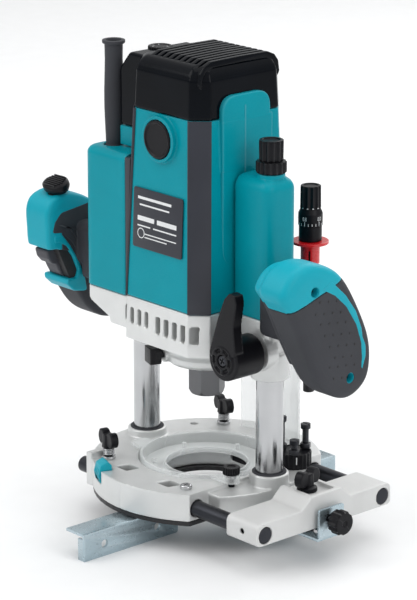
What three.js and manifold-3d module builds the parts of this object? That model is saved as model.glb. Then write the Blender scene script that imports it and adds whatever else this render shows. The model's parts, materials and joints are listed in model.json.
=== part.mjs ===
// A plunge router with two side handles, fitted with its straight guide and chip guards.
// Millimetres, +Z up. The handles stand at -X (trigger) and +X; the label faces -Y.
import * as THREE from "three";
import { mergeVertices } from "three/addons/utils/BufferGeometryUtils.js";
import Module from "manifold-3d";

const wasm = await Module();
wasm.setup();

// ---- Driving dimensions -------------------------------------------------------------------

// Where the spindle axis and the underside of the sole stand in the part's frame.
const SPINDLE_X = 0;
const SPINDLE_Y = 6;
const SOLE_Z = 21.5;

const GAP = 0.3;
const PLUNGE = 70;

const BASE_R = 85;
const BASE_TOP = 24;
const BASE_FLOOR = 15;
const BASE_HOLE_R = 37;
const SOLE_T = 3;
const LEDGE_X = 54;
const LEDGE_R = 80;
const LEDGE_TOP = 21;

const COLUMN_X = 67.5;
const COLUMN_R = 10;
const COLUMN_BORE_R = 8;
const COLUMN_FOOT = 7;
const COLUMN_TOP = 172;
const BOSS_TOP = 30;

const ROD_R = 6;
const ROD_Y = 58;
const ROD_Z = 12;
const ROD_START = -73;
const HOLDER_X0 = 94;
const HOLDER_X1 = 126;

const HOUSING_Z0 = 150;
const HOUSING_Z1 = 290;
const HOUSING_X = 44.5;
const HOUSING_Y = 48;
const HOUSING_CHAMFER = 11.5;
const HOUSING_TAPER = 0.89;
const WALL = 3;
const CAP_TOP = 331;

const TOWER_Z0 = 148;
const RIGHT_TOWER = { x0: 38, x1: 80, y0: -15, y1: 15, top: 250.5 };
const LEFT_TOWER = { x0: -84, x1: -38, y0: -46, y1: 12, top: 254 };
const COLLAR_Z = 102;
const COLLAR_R = 14;

const HANDLE_X0 = 118;
const NECK = { y0: -25, y1: 8, z0: 141, z1: 184 };
const INNER_CHEEK = { x: 110, z: 128 };
const HANDLE_X1 = 147;
const LOCK_OFF = { x: 128, y: -38 };

const POLE = { x: 56, y: 50, r: 4.2, bottom: 77 };
const TURRET = { x: 51, y: 40.5, r: 13, top: 32 };
const TURRET_STOPS = { tall: [57, 205], middle: [51, 78], low: [43.5, 318] };
const STOP_CIRCLE_R = 9.9;
const LEVER = { x: 68.5, z: 124, r: 15 };
const LOCK_DEGREES = 250;
const LOCK_ANGLE = THREE.MathUtils.degToRad(LOCK_DEGREES);
const LOCK_Z = 107.5;

const CLAMP_BOLTS = { front: [-44, -ROD_Y], rear: [-45, ROD_Y] };
const NOZZLE_SCREW = [54, -25];
const NOZZLE_TOP = 26.5;
const DEFLECTOR = { inner: 69, outer: 71, first: 59, last: 116, height: 73 };
const CLIP_ANGLE = THREE.MathUtils.degToRad(248);
const WING_NUT = [108, -1];
const BRUSH_Z = 272;
const BRUSH_R = 13.8;
const STATOR_Z = [168, 236];
const CORD_GUARD = [-69, -28.5];
const CORD_GUARD_TOP = 331;

// ---- Materials ----------------------------------------------------------------------------

const finish = (color, roughness, metalness = 0, opacity = 1) =>
  new THREE.MeshStandardMaterial({ color, roughness, metalness, opacity, transparent: opacity < 1 });
const teal = () => finish(0x0b93a3, 0.4);
const handleTeal = () => finish(0x27aebf, 0.45);
const black = () => finish(0x14161a, 0.35);
const gloss = () => finish(0x08090b, 0.15);
const strip = () => finish(0x3d3f47, 0.6);
const grip = () => finish(0x4b4d52, 0.8);
const casting = () => finish(0xc6c9c4, 0.45, 0.6);
const paintedGrey = () => finish(0xc9c9c9, 0.5, 0.2);
const zinc = () => finish(0xa9c1cb, 0.3, 0.8);
const steel = () => finish(0xb9bcc0, 0.2, 1);
const darkSteel = () => finish(0x3a3c40, 0.35, 0.9);
const clear = () => finish(0xe6ecec, 0.1, 0, 0.35);
const red = () => finish(0xc01216, 0.35);
const copper = () => finish(0xb0683a, 0.35, 0.9);
const carbon = () => finish(0x2a2a2c, 0.7);

// ---- Solids -------------------------------------------------------------------------------

// A three.js geometry as a manifold-3d solid, whichever way its faces were wound.
function solid(geometry) {
  const bare = geometry.clone();
  bare.deleteAttribute("normal");
  bare.deleteAttribute("uv");
  const merged = mergeVertices(bare, 1e-4);
  const index = merged.index.array;
  const kept = [];
  for (let i = 0; i < index.length; i += 3) {
    const [a, b, c] = [index[i], index[i + 1], index[i + 2]];
    if (a !== b && b !== c && c !== a) kept.push(a, b, c);
  }
  const build = (tri) =>
    new wasm.Manifold(
      new wasm.Mesh({
        numProp: 3,
        vertProperties: merged.attributes.position.array,
        triVerts: new Uint32Array(tri),
      }),
    );
  const made = build(kept);
  return made.volume() > 0 ? made : build(kept.reverse());
}

function geometryOf(made) {
  const mesh = made.getMesh();
  return new THREE.BufferGeometry()
    .setAttribute("position", new THREE.BufferAttribute(mesh.vertProperties, 3))
    .setIndex(new THREE.BufferAttribute(mesh.triVerts, 1));
}

// Bases that carry a solid built along z over to the named axis.
const AXES = {
  x: new THREE.Matrix4().makeBasis(
    new THREE.Vector3(0, 1, 0),
    new THREE.Vector3(0, 0, 1),
    new THREE.Vector3(1, 0, 0),
  ),
  y: new THREE.Matrix4().makeBasis(
    new THREE.Vector3(0, 0, 1),
    new THREE.Vector3(1, 0, 0),
    new THREE.Vector3(0, 1, 0),
  ),
  z: new THREE.Matrix4(),
};

function block(x0, x1, y0, y1, z0, z1) {
  const box = new THREE.BoxGeometry(x1 - x0, y1 - y0, z1 - z0);
  return solid(box.translate((x0 + x1) / 2, (y0 + y1) / 2, (z0 + z1) / 2));
}

function shapeOf(pairs) {
  return new THREE.Shape(pairs.map(([a, b]) => new THREE.Vector2(a, b)));
}

// An outline pushed along an axis. Along x the outline is [y, z]; along y it is [z, x].
function prism(outline, from, to, axis = "z", curveSegments = 6) {
  const shape = Array.isArray(outline) ? shapeOf(outline) : outline;
  const depth = to - from;
  const pushed = new THREE.ExtrudeGeometry(shape, { depth, bevelEnabled: false, curveSegments });
  return solid(pushed.translate(0, 0, from).applyMatrix4(AXES[axis]));
}

// A round bar, or a cone when the far radius differs. For axis x, centre is [y, z]; for y, [z, x].
function round(r, from, to, centre = [0, 0], axis = "z", sides = 20, farR = r) {
  const bar = new THREE.CylinderGeometry(farR, r, to - from, sides).rotateX(Math.PI / 2);
  return solid(bar.translate(centre[0], centre[1], (from + to) / 2).applyMatrix4(AXES[axis]));
}

// A profile of [radius, height] turned about the axis.
function turned(profile, centre = [0, 0], axis = "z", sides = 24) {
  const points = profile.map(([r, h]) => new THREE.Vector2(r, h));
  const lathe = new THREE.LatheGeometry(points, sides).rotateX(Math.PI / 2);
  return solid(lathe.translate(centre[0], centre[1], 0).applyMatrix4(AXES[axis]));
}

function tube(outer, inner, from, to, centre = [0, 0], axis = "z", sides = 24) {
  const wall = [[inner, from], [outer, from], [outer, to], [inner, to], [inner, from]];
  return turned(wall, centre, axis, sides);
}

function roundedRect(x0, x1, y0, y1, r) {
  const shape = new THREE.Shape();
  shape.moveTo(x0 + r, y0);
  shape.lineTo(x1 - r, y0).absarc(x1 - r, y0 + r, r, -Math.PI / 2, 0);
  shape.lineTo(x1, y1 - r).absarc(x1 - r, y1 - r, r, 0, Math.PI / 2);
  shape.lineTo(x0 + r, y1).absarc(x0 + r, y1 - r, r, Math.PI / 2, Math.PI);
  shape.lineTo(x0, y0 + r).absarc(x0 + r, y0 + r, r, Math.PI, 1.5 * Math.PI);
  return shape;
}

// A knob edge with shallow flutes, as a star outline.
function fluted(r, depth, flutes, from, to, centre = [0, 0], axis = "z") {
  const outline = [];
  for (let i = 0; i < flutes * 4; i++) {
    const angle = (i / (flutes * 4)) * 2 * Math.PI;
    const reach = i % 4 < 2 ? r : r - depth;
    outline.push([centre[0] + reach * Math.cos(angle), centre[1] + reach * Math.sin(angle)]);
  }
  return prism(outline, from, to, axis);
}

// A helical spring standing on the XY plane at the given centre.
function spring(meanR, wireR, from, to, turns, centre) {
  const steps = turns * 10;
  const points = [];
  for (let i = 0; i <= steps; i++) {
    const angle = (i / steps) * turns * 2 * Math.PI;
    const z = from + wireR + ((to - from - 2 * wireR) * i) / steps;
    points.push(new THREE.Vector3(
      centre[0] + meanR * Math.cos(angle), centre[1] + meanR * Math.sin(angle), z));
  }
  const wire = new THREE.Shape().absarc(0, 0, wireR, 0, 2 * Math.PI);
  const coil = new THREE.ExtrudeGeometry(wire, {
    steps,
    curveSegments: 2,
    extrudePath: new THREE.CatmullRomCurve3(points),
  });
  return solid(coil);
}

function add(group, name, made, material, position = [0, 0, 0]) {
  const mesh = new THREE.Mesh(geometryOf(made), material);
  mesh.name = name;
  mesh.position.set(...position);
  group.add(mesh);
}

// ---- Base ---------------------------------------------------------------------------------

function baseCasting() {
  const bottom = SOLE_T + GAP;
  const rightHalf = block(LEDGE_X, 95, -90, 90, 0, 40);
  const ledge = round(LEDGE_R, bottom, LEDGE_TOP, [0, 0], "z", 56);
  const ledgeZone = block(LEDGE_X - 1, 95, -47, 47, 0, 40);
  let made = round(BASE_R, bottom, BASE_TOP, [0, 0], "z", 56)
    .subtract(rightHalf)
    .add(ledge.intersect(ledgeZone))
    .subtract(round(51, BASE_FLOOR, 40, [0, 0], "z", 40))
    .add(round(17, bottom, BOSS_TOP, [-COLUMN_X, 0], "z", 32, 14.4))
    .add(round(14.4, bottom, BOSS_TOP, [COLUMN_X, 0], "z", 24))
    .subtract(round(BASE_HOLE_R, 0, 40, [0, 0], "z", 40));
  for (const x of [-COLUMN_X, COLUMN_X])
    made = made.subtract(round(COLUMN_R + GAP, COLUMN_FOOT - GAP, 40, [x, 0], "z", 24));
  for (const y of [-ROD_Y, ROD_Y])
    made = made.subtract(round(ROD_R + 0.4, -90, 90, [y, ROD_Z], "x", 24));
  for (const [x, y] of Object.values(CLAMP_BOLTS))
    made = made.subtract(round(3.3, ROD_Z, 40, [x, y], "z", 16));
  for (const x of [-20, 26])
    made = made.subtract(block(x - 6.5, x + 6.5, -66, -55, BASE_FLOOR, 40));
  return made
    .subtract(solid(new THREE.BoxGeometry(12, 13, 26).translate(81.6, 0, 27).rotateZ(CLIP_ANGLE)))
    .subtract(round(3, 0, 40, [-60, 41], "z", 16))
    .subtract(round(2.7, 10, 40, NOZZLE_SCREW, "z", 12))
    .subtract(round(TURRET.r + 0.6, LEDGE_TOP - 0.7, 40, [TURRET.x, TURRET.y], "z", 24))
    .subtract(round(4.4, 8, 40, [TURRET.x, TURRET.y], "z", 16))
    .subtract(block(-12, 8, 30, 48, 8.5, 20));
}

function solePlate() {
  return tube(BASE_R - 0.5, 33, 0, SOLE_T, [0, 0], "z", 56)
    .subtract(block(LEDGE_X, 95, -90, -47, -1, 5))
    .subtract(block(LEDGE_X, 95, 47, 90, -1, 5));
}

// The clear ring round the cutter, with a wall, an inner lip and an ear for its thumb screw.
function dustNozzle() {
  const profile = [
    [30, 15.3], [49.5, 15.3], [49.5, NOZZLE_TOP], [47.5, NOZZLE_TOP], [47.5, 17.5], [32, 17.5],
    [32, 20], [30, 20], [30, 15.3],
  ];
  const [x, y] = NOZZLE_SCREW;
  const seat = BASE_TOP + GAP;
  const inside = round(48, 10, 40, [0, 0], "z", 40);
  const leftEar = block(-57, -40, -27, -12, seat, NOZZLE_TOP).subtract(inside);
  const ear = block(36, x, y - 6.5, y + 6.5, seat, NOZZLE_TOP)
    .add(round(6.5, seat, 30, NOZZLE_SCREW, "z", 20));
  return turned(profile, [0, 0], "z", 40)
    .add(ear.subtract(inside))
    .add(leftEar)
    .subtract(round(2.7, 10, 40, NOZZLE_SCREW, "z", 12));
}

function nozzleScrew() {
  return round(2.3, 12, 31, [0, 0], "z", 10).add(fluted(6.3, 0.5, 14, 30.4, 36));
}

// A curved clear wall behind the cutter, standing on the base, with one low corner cut away.
function chipDeflector() {
  const { inner, outer, first, last, height } = DEFLECTOR;
  const [from, to] = [first, last].map(THREE.MathUtils.degToRad);
  const foot = BASE_TOP + GAP;
  const shape = new THREE.Shape();
  shape.absarc(0, 0, outer, from, to);
  shape.absarc(0, 0, inner, to, from, true);
  return prism(shape, foot, foot + height, "z", 16)
    .subtract(prism([[70, -40], [110, -40], [110, -18]], 40, 80, "y"));
}

function templateLock() {
  return block(-10, 6, 34, 43, 9, 14);
}

// A hooked clip in a slot of the rim, made along +X and then turned to its place.
function indexClip() {
  const outline = [[14.5, 76], [14.5, 85.4], [21, 86.4], [28, 84.5], [30.5, 79], [28, 76]];
  return prism(outline, -6, 6, "y");
}

// A winged head on a stud that bears on a guide rod.
function wingBolt() {
  return round(3, ROD_Z + ROD_R + GAP, 31, [0, 0], "z", 12)
    .add(round(5.2, 29, 43, [0, 0], "z", 16, 4))
    .add(prism(roundedRect(33, 46, -12, 12, 6), -2.5, 2.5, "y", 5));
}

// ---- Depth turret -------------------------------------------------------------------------

function stopPlace(degrees) {
  const angle = THREE.MathUtils.degToRad(degrees);
  return [TURRET.x + STOP_CIRCLE_R * Math.cos(angle), TURRET.y + STOP_CIRCLE_R * Math.sin(angle)];
}

function turret() {
  let made = round(TURRET.r, LEDGE_TOP - 0.4, TURRET.top, [TURRET.x, TURRET.y], "z", 30)
    .add(round(4, 9, 25, [TURRET.x, TURRET.y], "z", 16));
  for (const [, degrees] of Object.values(TURRET_STOPS))
    made = made.subtract(round(2.8, 24, 40, stopPlace(degrees), "z", 12));
  return made;
}

// A stop screw with its lock nut under a small slotted head.
function stopScrew(top) {
  return round(2.4, 25, top - 3, [0, 0], "z", 10)
    .add(round(4.2, TURRET.top + GAP, TURRET.top + 4, [0, 0], "z", 6))
    .add(round(3.6, top - 4, top, [0, 0], "z", 14));
}

// ---- Columns ------------------------------------------------------------------------------

function column() {
  return tube(COLUMN_R, COLUMN_BORE_R, COLUMN_FOOT, COLUMN_TOP, [0, 0], "z", 24);
}

function limitRod() {
  return round(3.6, COLUMN_FOOT, 272, [0, 0], "z", 14);
}

function limitNut() {
  return fluted(11, 0.7, 10, RIGHT_TOWER.top + 2.8, RIGHT_TOWER.top + 11)
    .subtract(round(4, 200, 300, [0, 0], "z", 14));
}

function limitKnob() {
  const foot = RIGHT_TOWER.top + 11.4;
  return fluted(9, 0.8, 10, foot, foot + 15).subtract(round(4, 200, 272.3, [0, 0], "z", 14));
}

// ---- Straight guide -----------------------------------------------------------------------

function guideRod() {
  return round(ROD_R, ROD_START, HOLDER_X1 - GAP, [0, 0], "x", 20);
}

function guideHolder() {
  const low = 4.6;
  const end = new THREE.Shape();
  end.moveTo(-ROD_Y, low).lineTo(ROD_Y, low);
  end.absarc(ROD_Y, ROD_Z + 1, 8.4, -Math.PI / 2, Math.PI / 2);
  end.lineTo(25, 21.4).lineTo(16, 29.5).lineTo(-14, 29.5).lineTo(-23, 21.4).lineTo(-ROD_Y, 21.4);
  end.absarc(-ROD_Y, ROD_Z + 1, 8.4, Math.PI / 2, 1.5 * Math.PI);
  let made = prism(end, HOLDER_X0, HOLDER_X1, "x");
  for (const y of [-ROD_Y, ROD_Y])
    made = made.subtract(round(ROD_R + GAP, 90, 140, [y, ROD_Z], "x", 20));
  return made
    .subtract(block(HOLDER_X0 - 1, HOLDER_X1 - 5, -13, 15, 26.5, 40))
    .subtract(round(3.6, 0, 40, WING_NUT, "z", 16))
    .subtract(round(3.4, 112, 140, [-1, ROD_Z], "x", 16))
    .subtract(round(1.5, -80, -63, [13, 110], "y", 10));
}

function guideWingNut() {
  return round(3, -4, 30, [0, 0], "z", 12)
    .add(round(5.5, -6.5, -3.4, [0, 0], "z", 6))
    .add(round(7.5, 26.8, 39, [0, 0], "z", 20, 6))
    .add(prism(roundedRect(31, 43, -12.5, 12.5, 5), -3, 3, "y", 5));
}

// The bent steel fence: a plate under the base, two faces hanging from it, and an upright tab.
function straightGuide() {
  const [plate, under, foot] = [-1, -3, -21.5];
  const [near, far, face, tabX] = [-131, 119, 15, 129.5];
  const outline = new THREE.Shape();
  outline.moveTo(-5, near).lineTo(face, near).lineTo(face, -52).lineTo(46, -30).lineTo(46, -13);
  outline.lineTo(tabX + 2, -13).lineTo(tabX + 2, 15).lineTo(46, 15).lineTo(46, 32).lineTo(face, 54);
  outline.lineTo(face, far).lineTo(-5, far).lineTo(-5, 30);
  outline.absarc(-5, 0, 30, Math.PI / 2, -Math.PI / 2, true);
  let made = prism(outline, under, plate)
    .subtract(block(96, 122, -4.6, 2.6, -5, 5))
    .add(block(tabX, tabX + 2, -11, 13, under, 20));
  made = made.subtract(round(3.4, 120, 135, [-1, ROD_Z], "x", 16));
  for (const [y0, y1] of [[near, -42], [42, far]]) {
    const end = y0 < 0 ? near : far - 2;
    made = made
      .add(block(face - 2, face, y0, y1, foot, plate))
      .add(block(face - 7, face, end, end + 2, foot, -5));
  }
  for (const y of [-112, -62, 62, 104])
    made = made.subtract(round(3, 8, 20, [y, -12], "x", 16));
  return made;
}

function fineAdjustKnob() {
  return round(2.8, 116, 138, [0, 0], "x", 12)
    .add(round(5, 134, 138, [0, 0], "x", 16))
    .add(fluted(9, 0.7, 16, 137, HANDLE_X1, [0, 0], "x"));
}

// ---- Motor housing ------------------------------------------------------------------------

// The tapered eight-sided body, grown outwards by the given offset.
function housingBody(offset, from = HOUSING_Z0, to = HOUSING_Z1) {
  const [x, y] = [HOUSING_X + offset, HOUSING_Y + offset];
  const c = HOUSING_CHAMFER + offset * 0.6;
  const outline = [
    [x, -y + c], [x, y - c], [x - c, y], [-x + c, y], [-x, y - c], [-x, -y + c], [-x + c, -y],
    [x - c, -y],
  ];
  const pushed = new THREE.ExtrudeGeometry(shapeOf(outline), { depth: to - from, bevelEnabled: false })
    .translate(0, 0, from);
  const place = pushed.attributes.position;
  for (let i = 0; i < place.count; i++) {
    const rise = (place.getZ(i) - HOUSING_Z0) / (HOUSING_Z1 - HOUSING_Z0);
    const scale = 1 + (HOUSING_TAPER - 1) * rise;
    place.setXY(i, place.getX(i) * scale, place.getY(i) * scale);
  }
  return solid(pushed);
}

// The motor's wall, with a ring round each brush cap, a raised panel at +X and a flank at -X.
function motorHousing() {
  const panel = prism(roundedRect(-24, 24, 180, 300, 12), 37.5, 43.5, "x");
  let made = housingBody(0, HOUSING_Z0 + GAP, HOUSING_Z1 - GAP)
    .add(block(-61, -38, -30, 25, 255, 269.5))
    .add(panel.intersect(block(38, 46, -30, 30, 251.2, HOUSING_Z1 - 1)));
  for (const [from, to] of [[-47.5, -38], [38, 47.5]])
    made = made.add(round(BRUSH_R + 3, from, to, [BRUSH_Z, 0], "y", 28));
  return made
    .subtract(housingBody(-WALL, HOUSING_Z0 - 5, HOUSING_Z1 + 5))
    .subtract(round(BRUSH_R + 0.4, -80, 80, [BRUSH_Z, 0], "y", 28));
}

// A grey seam strip along one sloping front corner of the housing.
function cornerStrip(side) {
  const [low, high] = [HOUSING_Z0 - 5, HOUSING_Z1 + 5];
  const shell = housingBody(1.3, HOUSING_Z0 + GAP, HOUSING_Z1 - GAP)
    .subtract(housingBody(0.35, low, high));
  const chamferBand = [[20, -35.5], [60, -75.5], [60, -51.5], [20, -11.5]];
  return shell.intersect(prism(chamferBand.map(([x, y]) => [side * x, y]), low, high));
}

function nameplate() {
  const plate = roundedRect(-27, 26, 189, 233, 2);
  const tilt = Math.atan((HOUSING_Y * (1 - HOUSING_TAPER)) / (HOUSING_Z1 - HOUSING_Z0));
  const middle = (HOUSING_Z0 + 211) / 2;
  return solid(
    new THREE.ExtrudeGeometry(plate, { depth: 1, bevelEnabled: false, curveSegments: 3 })
      .translate(0, -middle, 0.4)
      .rotateX(Math.PI / 2 - tilt)
      .translate(0, -HOUSING_Y + (middle - HOUSING_Z0) * Math.tan(tilt), middle),
  );
}

function brushCap(side) {
  const [from, to] = side < 0 ? [-48.5, -41] : [41, 48.5];
  const [face, dish] = side < 0 ? [-49, -46.8] : [46.8, 49];
  return round(BRUSH_R, from, to, [BRUSH_Z, 0], "y", 28)
    .subtract(round(11.5, face, dish, [BRUSH_Z, 0], "y", 24));
}

function carbonBrush(side) {
  const [from, to] = side < 0 ? [-40, -15] : [15, 40];
  return block(-4, 4, from, to, BRUSH_Z - 6, BRUSH_Z + 6);
}

// The black cap over the top of the motor, with louvres and the speed dial's shoulder.
function topCap() {
  const seat = HOUSING_Z1;
  const rim = 317;
  const louvres = { count: 9, first: -21, pitch: 5.4, width: 2.6, depth: 9 };
  const shoulder = prism([[270, -61], [312, -61], [325, -50], [325, -30], [270, -30]], -30, 25, "y");
  let made = housingBody(0.2, seat, rim)
    .add(housingBody(-2.2, rim - 1, rim + 6))
    .add(housingBody(-7, rim + 5, CAP_TOP - 3))
    .add(housingBody(-11, CAP_TOP - 4, CAP_TOP))
    .add(shoulder.subtract(housingBody(0.4, HOUSING_Z0, seat)))
    .subtract(housingBody(-4, seat - 5, rim - 1))
    .subtract(housingBody(-12, rim - 2, CAP_TOP - 5))
    .subtract(block(-70, -37, -40, 40, 250, 269.8))
    .subtract(round(9.4, 318, 340, [-47, -3], "z", 24));
  for (let i = 0; i < louvres.count; i++) {
    const x = louvres.first + i * louvres.pitch;
    made = made.subtract(block(x, x + louvres.width, -26, 24, CAP_TOP - louvres.depth, CAP_TOP + 2));
  }
  return made;
}

function speedDial() {
  return fluted(9, 0.4, 16, 318.4, 326.5);
}

function rightTower() {
  const { x0, x1, y0, y1, top } = RIGHT_TOWER;
  return prism(roundedRect(x0, x1, y0, y1, 7), TOWER_Z0 + GAP, top - 4)
    .add(prism(roundedRect(x0 + 1, x1 - 2, y0 + 2, y1 - 2, 6), TOWER_Z0 + 1, top))
    .add(round(10, top - 1, top + 2.4, [COLUMN_X, 0]))
    .subtract(block(30, 46.2, -40, 40, 100, 300))
    .subtract(round(COLUMN_R + 0.5, 100, top - 5, [COLUMN_X, 0], "z", 24))
    .subtract(round(4.2, 200, 300, [COLUMN_X, 0], "z", 14));
}

function leftTower() {
  const { x0, x1, y0, y1, top } = LEFT_TOWER;
  return prism(roundedRect(x0, x1, y0, y1, 9), TOWER_Z0 + GAP, top - 5)
    .add(prism(roundedRect(x0 + 2.5, x1, y0 + 2.5, y1 - 2.5, 7), TOWER_Z0 + 1, top))
    .subtract(housingBody(1.7, 100, 320))
    .subtract(round(COLUMN_R + 0.5, 100, top - 5, [-COLUMN_X, 0], "z", 24))
    .subtract(round(8, top - 14, top + 2, CORD_GUARD, "z", 24));
}

// The empty rubber boot that the supply cable would leave through.
function cordGuard() {
  const top = LEFT_TOWER.top;
  return turned([
    [4.8, top - 13], [7.6, top - 13], [7.6, top - 4], [6.4, top], [6.3, 300], [6.9, 320],
    [6.9, 328], [8.4, 329], [8.4, CORD_GUARD_TOP], [5.6, CORD_GUARD_TOP], [5.2, 320],
    [4.8, top - 13],
  ]);
}

// ---- Bearing housing ----------------------------------------------------------------------

// The pocket over the turret clears every stop screw when the tool is plunged fully.
function bearingHousing() {
  const top = TOWER_Z0;
  const stopPocketTop = TURRET_STOPS.tall[0] + PLUNGE + 1.5;
  const left = LEFT_TOWER;
  const right = RIGHT_TOWER;
  const skirt = prism(roundedRect(left.x0, left.x1 + 8, left.y0, left.y1, 9), 106, top)
    .subtract(prism([[left.y0 - 5, 100], [left.y1 + 5, 100], [left.y0 - 5, 126]], -90, -20, "x"))
    .subtract(prism([[100, -90], [132, -90], [104, -70]], -60, 30, "y"))
    .subtract(prism([[100, -90], [142, -90], [128, -56], [104, -52]], -60, -16, "y"));
  const nose = turned([
    [0, 98.5], [27, 98.5], [30, 101], [31, 106], [36, 110], [40, 118], [40, 126], [0, 126],
  ], [0, 0], "z", 40);
  const lug = prism([[53, 10], [65, 10], [65, POLE.y], [53, POLE.y]], 123, 137)
    .add(round(9, 123, 137, [POLE.x, POLE.y], "z", 24));
  const lockPin = (r, length, reach) => {
    const pin = new THREE.CylinderGeometry(r, r, length, 18).rotateZ(Math.PI / 2);
    return solid(pin.translate(reach, 0, LOCK_Z).rotateZ(LOCK_ANGLE));
  };
  let made = housingBody(0, 118, HOUSING_Z0)
    .add(prism(roundedRect(right.x0, right.x1, right.y0, right.y1, 7), 118, top))
    .add(skirt)
    .add(nose)
    .add(lug)
    .add(lockPin(6.5, 9, 30.5))
    .add(round(LEVER.r - 1, -15.2, -5, [LEVER.z, LEVER.x], "y", 24));
  for (const x of [-COLUMN_X, COLUMN_X]) {
    made = made
      .add(round(COLLAR_R, COLLAR_Z, 122, [x, 0], "z", 24))
      .subtract(round(COLUMN_R + GAP, 90, 160, [x, 0], "z", 24));
  }
  made = made
    .subtract(round(37, 121, 160, [0, 0], "z", 40))
    .subtract(round(17.6, 104, 130, [0, 0], "z", 24))
    .subtract(round(14.4, 90, 120, [0, 0], "z", 24))
    .subtract(round(POLE.r + 0.4, 110, 150, [POLE.x, POLE.y], "z", 18))
    .subtract(round(STOP_CIRCLE_R + 4.4, 95, stopPocketTop, [TURRET.x, TURRET.y], "z", 28))
    .subtract(block(35, 50, -6.5, 6.5, LOCK_Z - 6.5, LOCK_Z + 6.5).rotate([0, 0, LOCK_DEGREES]))
    .subtract(lockPin(3.4, 26, 30));
  for (let i = 0; i < 5; i++)
    made = made.subtract(block(-2 + i * 9, 3 + i * 9, -60, -30, 128, 141));
  for (let i = 0; i < 4; i++)
    made = made.subtract(block(-38 + i * 8, -34 + i * 8, -60, -30, 130, 142));
  return made;
}

// The spindle lock's push button and its pin, made along +X and then turned to its place.
function shaftLockButton() {
  return round(2.9, 25, 39, [0, 0], "x", 14).add(block(38, 46.6, -6, 6, -6, 6));
}

function lockLever() {
  const hub = round(LEVER.r, -48, -15.6, [LEVER.z, LEVER.x], "y", 32)
    .subtract(round(5.2, -50, -46.5, [LEVER.z, LEVER.x], "y", 20));
  const arm = prism(
    [[LEVER.z - 2, LEVER.x - 14], [172, 79], [175, 83], [173, 87], [LEVER.z + 8, LEVER.x + 14]],
    -48, -40, "y",
  );
  return hub.add(arm);
}

// ---- Motor internals ----------------------------------------------------------------------

function stator() {
  const [from, to] = STATOR_Z;
  return round(37, from, to, [0, 0], "z", 8).subtract(round(26, from - 5, to + 5, [0, 0], "z", 24));
}

function spindleShaft() {
  return turned([
    [0, 97], [6.4, 97], [6.4, 103.6], [8.2, 103.6], [8.2, 150], [7, 150], [7, 285], [5, 285],
    [5, 303], [0, 303],
  ], [0, 0], "z", 24);
}

function armatureCore() {
  return tube(25, 7.4, STATOR_Z[0] + 2, STATOR_Z[1] - 2, [0, 0], "z", 24);
}

function commutator() {
  return tube(14.5, 7.4, 258, 282, [0, 0], "z", 24);
}

function coolingFan() {
  const blades = 12;
  let made = tube(16, 8.6, 130, 138).add(tube(34, 8.6, 138, 140.5, [0, 0], "z", 36));
  for (let i = 0; i < blades; i++) {
    const turn = (i / blades) * 2 * Math.PI;
    const blade = new THREE.BoxGeometry(19, 2, 9).translate(24, 0, 134).rotateZ(turn);
    made = made.add(solid(blade));
  }
  return made;
}

function colletNut() {
  return round(13.6, 74, 97.9, [0, 0], "z", 6)
    .subtract(round(7, 70, 80, [0, 0], "z", 20))
    .subtract(round(9.6, 77, 100, [0, 0], "z", 24));
}

function colletCone() {
  return turned([[6, 77.4], [7.6, 77.4], [9.2, 82], [9.2, 96.6], [6, 96.6], [6, 77.4]]);
}

// ---- Depth stop pole ----------------------------------------------------------------------

function depthPole() {
  return round(POLE.r, POLE.bottom, 212, [0, 0], "z", 18);
}

function depthPointer() {
  return turned([
    [4.5, 175], [7, 175], [7, 189], [13.5, 190], [13.5, 192], [4.5, 192], [4.5, 175],
  ], [0, 0], "z", 24);
}

function depthKnob() {
  const sleeve = turned([
    [4.5, 192.4], [8.6, 192.4], [8.9, 212], [7.6, 216.5], [0, 216.5], [0, 213], [4.5, 213],
    [4.5, 192.4],
  ], [0, 0], "z", 24);
  return sleeve.add(fluted(7.8, 0.7, 12, 215.5, 233));
}

// ---- Handles ------------------------------------------------------------------------------

// Points [y, z] that the paddle's smooth side outline passes through.
const PADDLE = [
  [-62, 190], [-50, 205.5], [-30, 208], [-6, 196], [12, 170], [24, 141], [21.5, 115], [2, 104],
  [-21, 116], [-38, 144], [-53, 174],
];
// The left handle stands further back, with a flat front and a thinner tail behind the trigger.
const LEFT_PADDLE = [
  [-50, 168], [-50.5, 190], [-44, 203], [-30, 207.5], [-6, 196], [12, 170], [24, 141], [24.5, 118],
  [15, 103.5], [2, 103.5], [-12, 113], [-23, 128], [-31, 144], [-40, 160],
];
const TRIGGER_BAY = [
  [-66, 165], [-40, 165], [-27, 161], [-15, 147], [-15, 139], [-26, 134], [-60, 134],
];

// The closed outline through a paddle's points, shrunk about its middle by the given factors.
function paddleOutline(paddle, scaleY = 1, scaleZ = 1) {
  const middle = [-18, 156];
  const points = paddle.map(([y, z]) => new THREE.Vector3(
    middle[0] + (y - middle[0]) * scaleY, middle[1] + (z - middle[1]) * scaleZ, 0));
  const curve = new THREE.CatmullRomCurve3(points, true, "centripetal");
  return curve.getPoints(32).slice(0, -1).map(({ x, y }) => [x, y]);
}

// The shell lies above a slanted parting line and the grip below it, with a fine gap between.
function partingZone(isShell) {
  const [y0, y1, slope] = [-90, 60, 48];
  const level = 165.5 + (isShell ? 0.2 : -0.2);
  const end = isShell ? 300 : 50;
  const outline = [[y0, level], [y1, level + slope], [y1, end], [y0, end]];
  return prism(isShell ? outline : outline.reverse(), 70, 160, "x");
}

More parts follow.
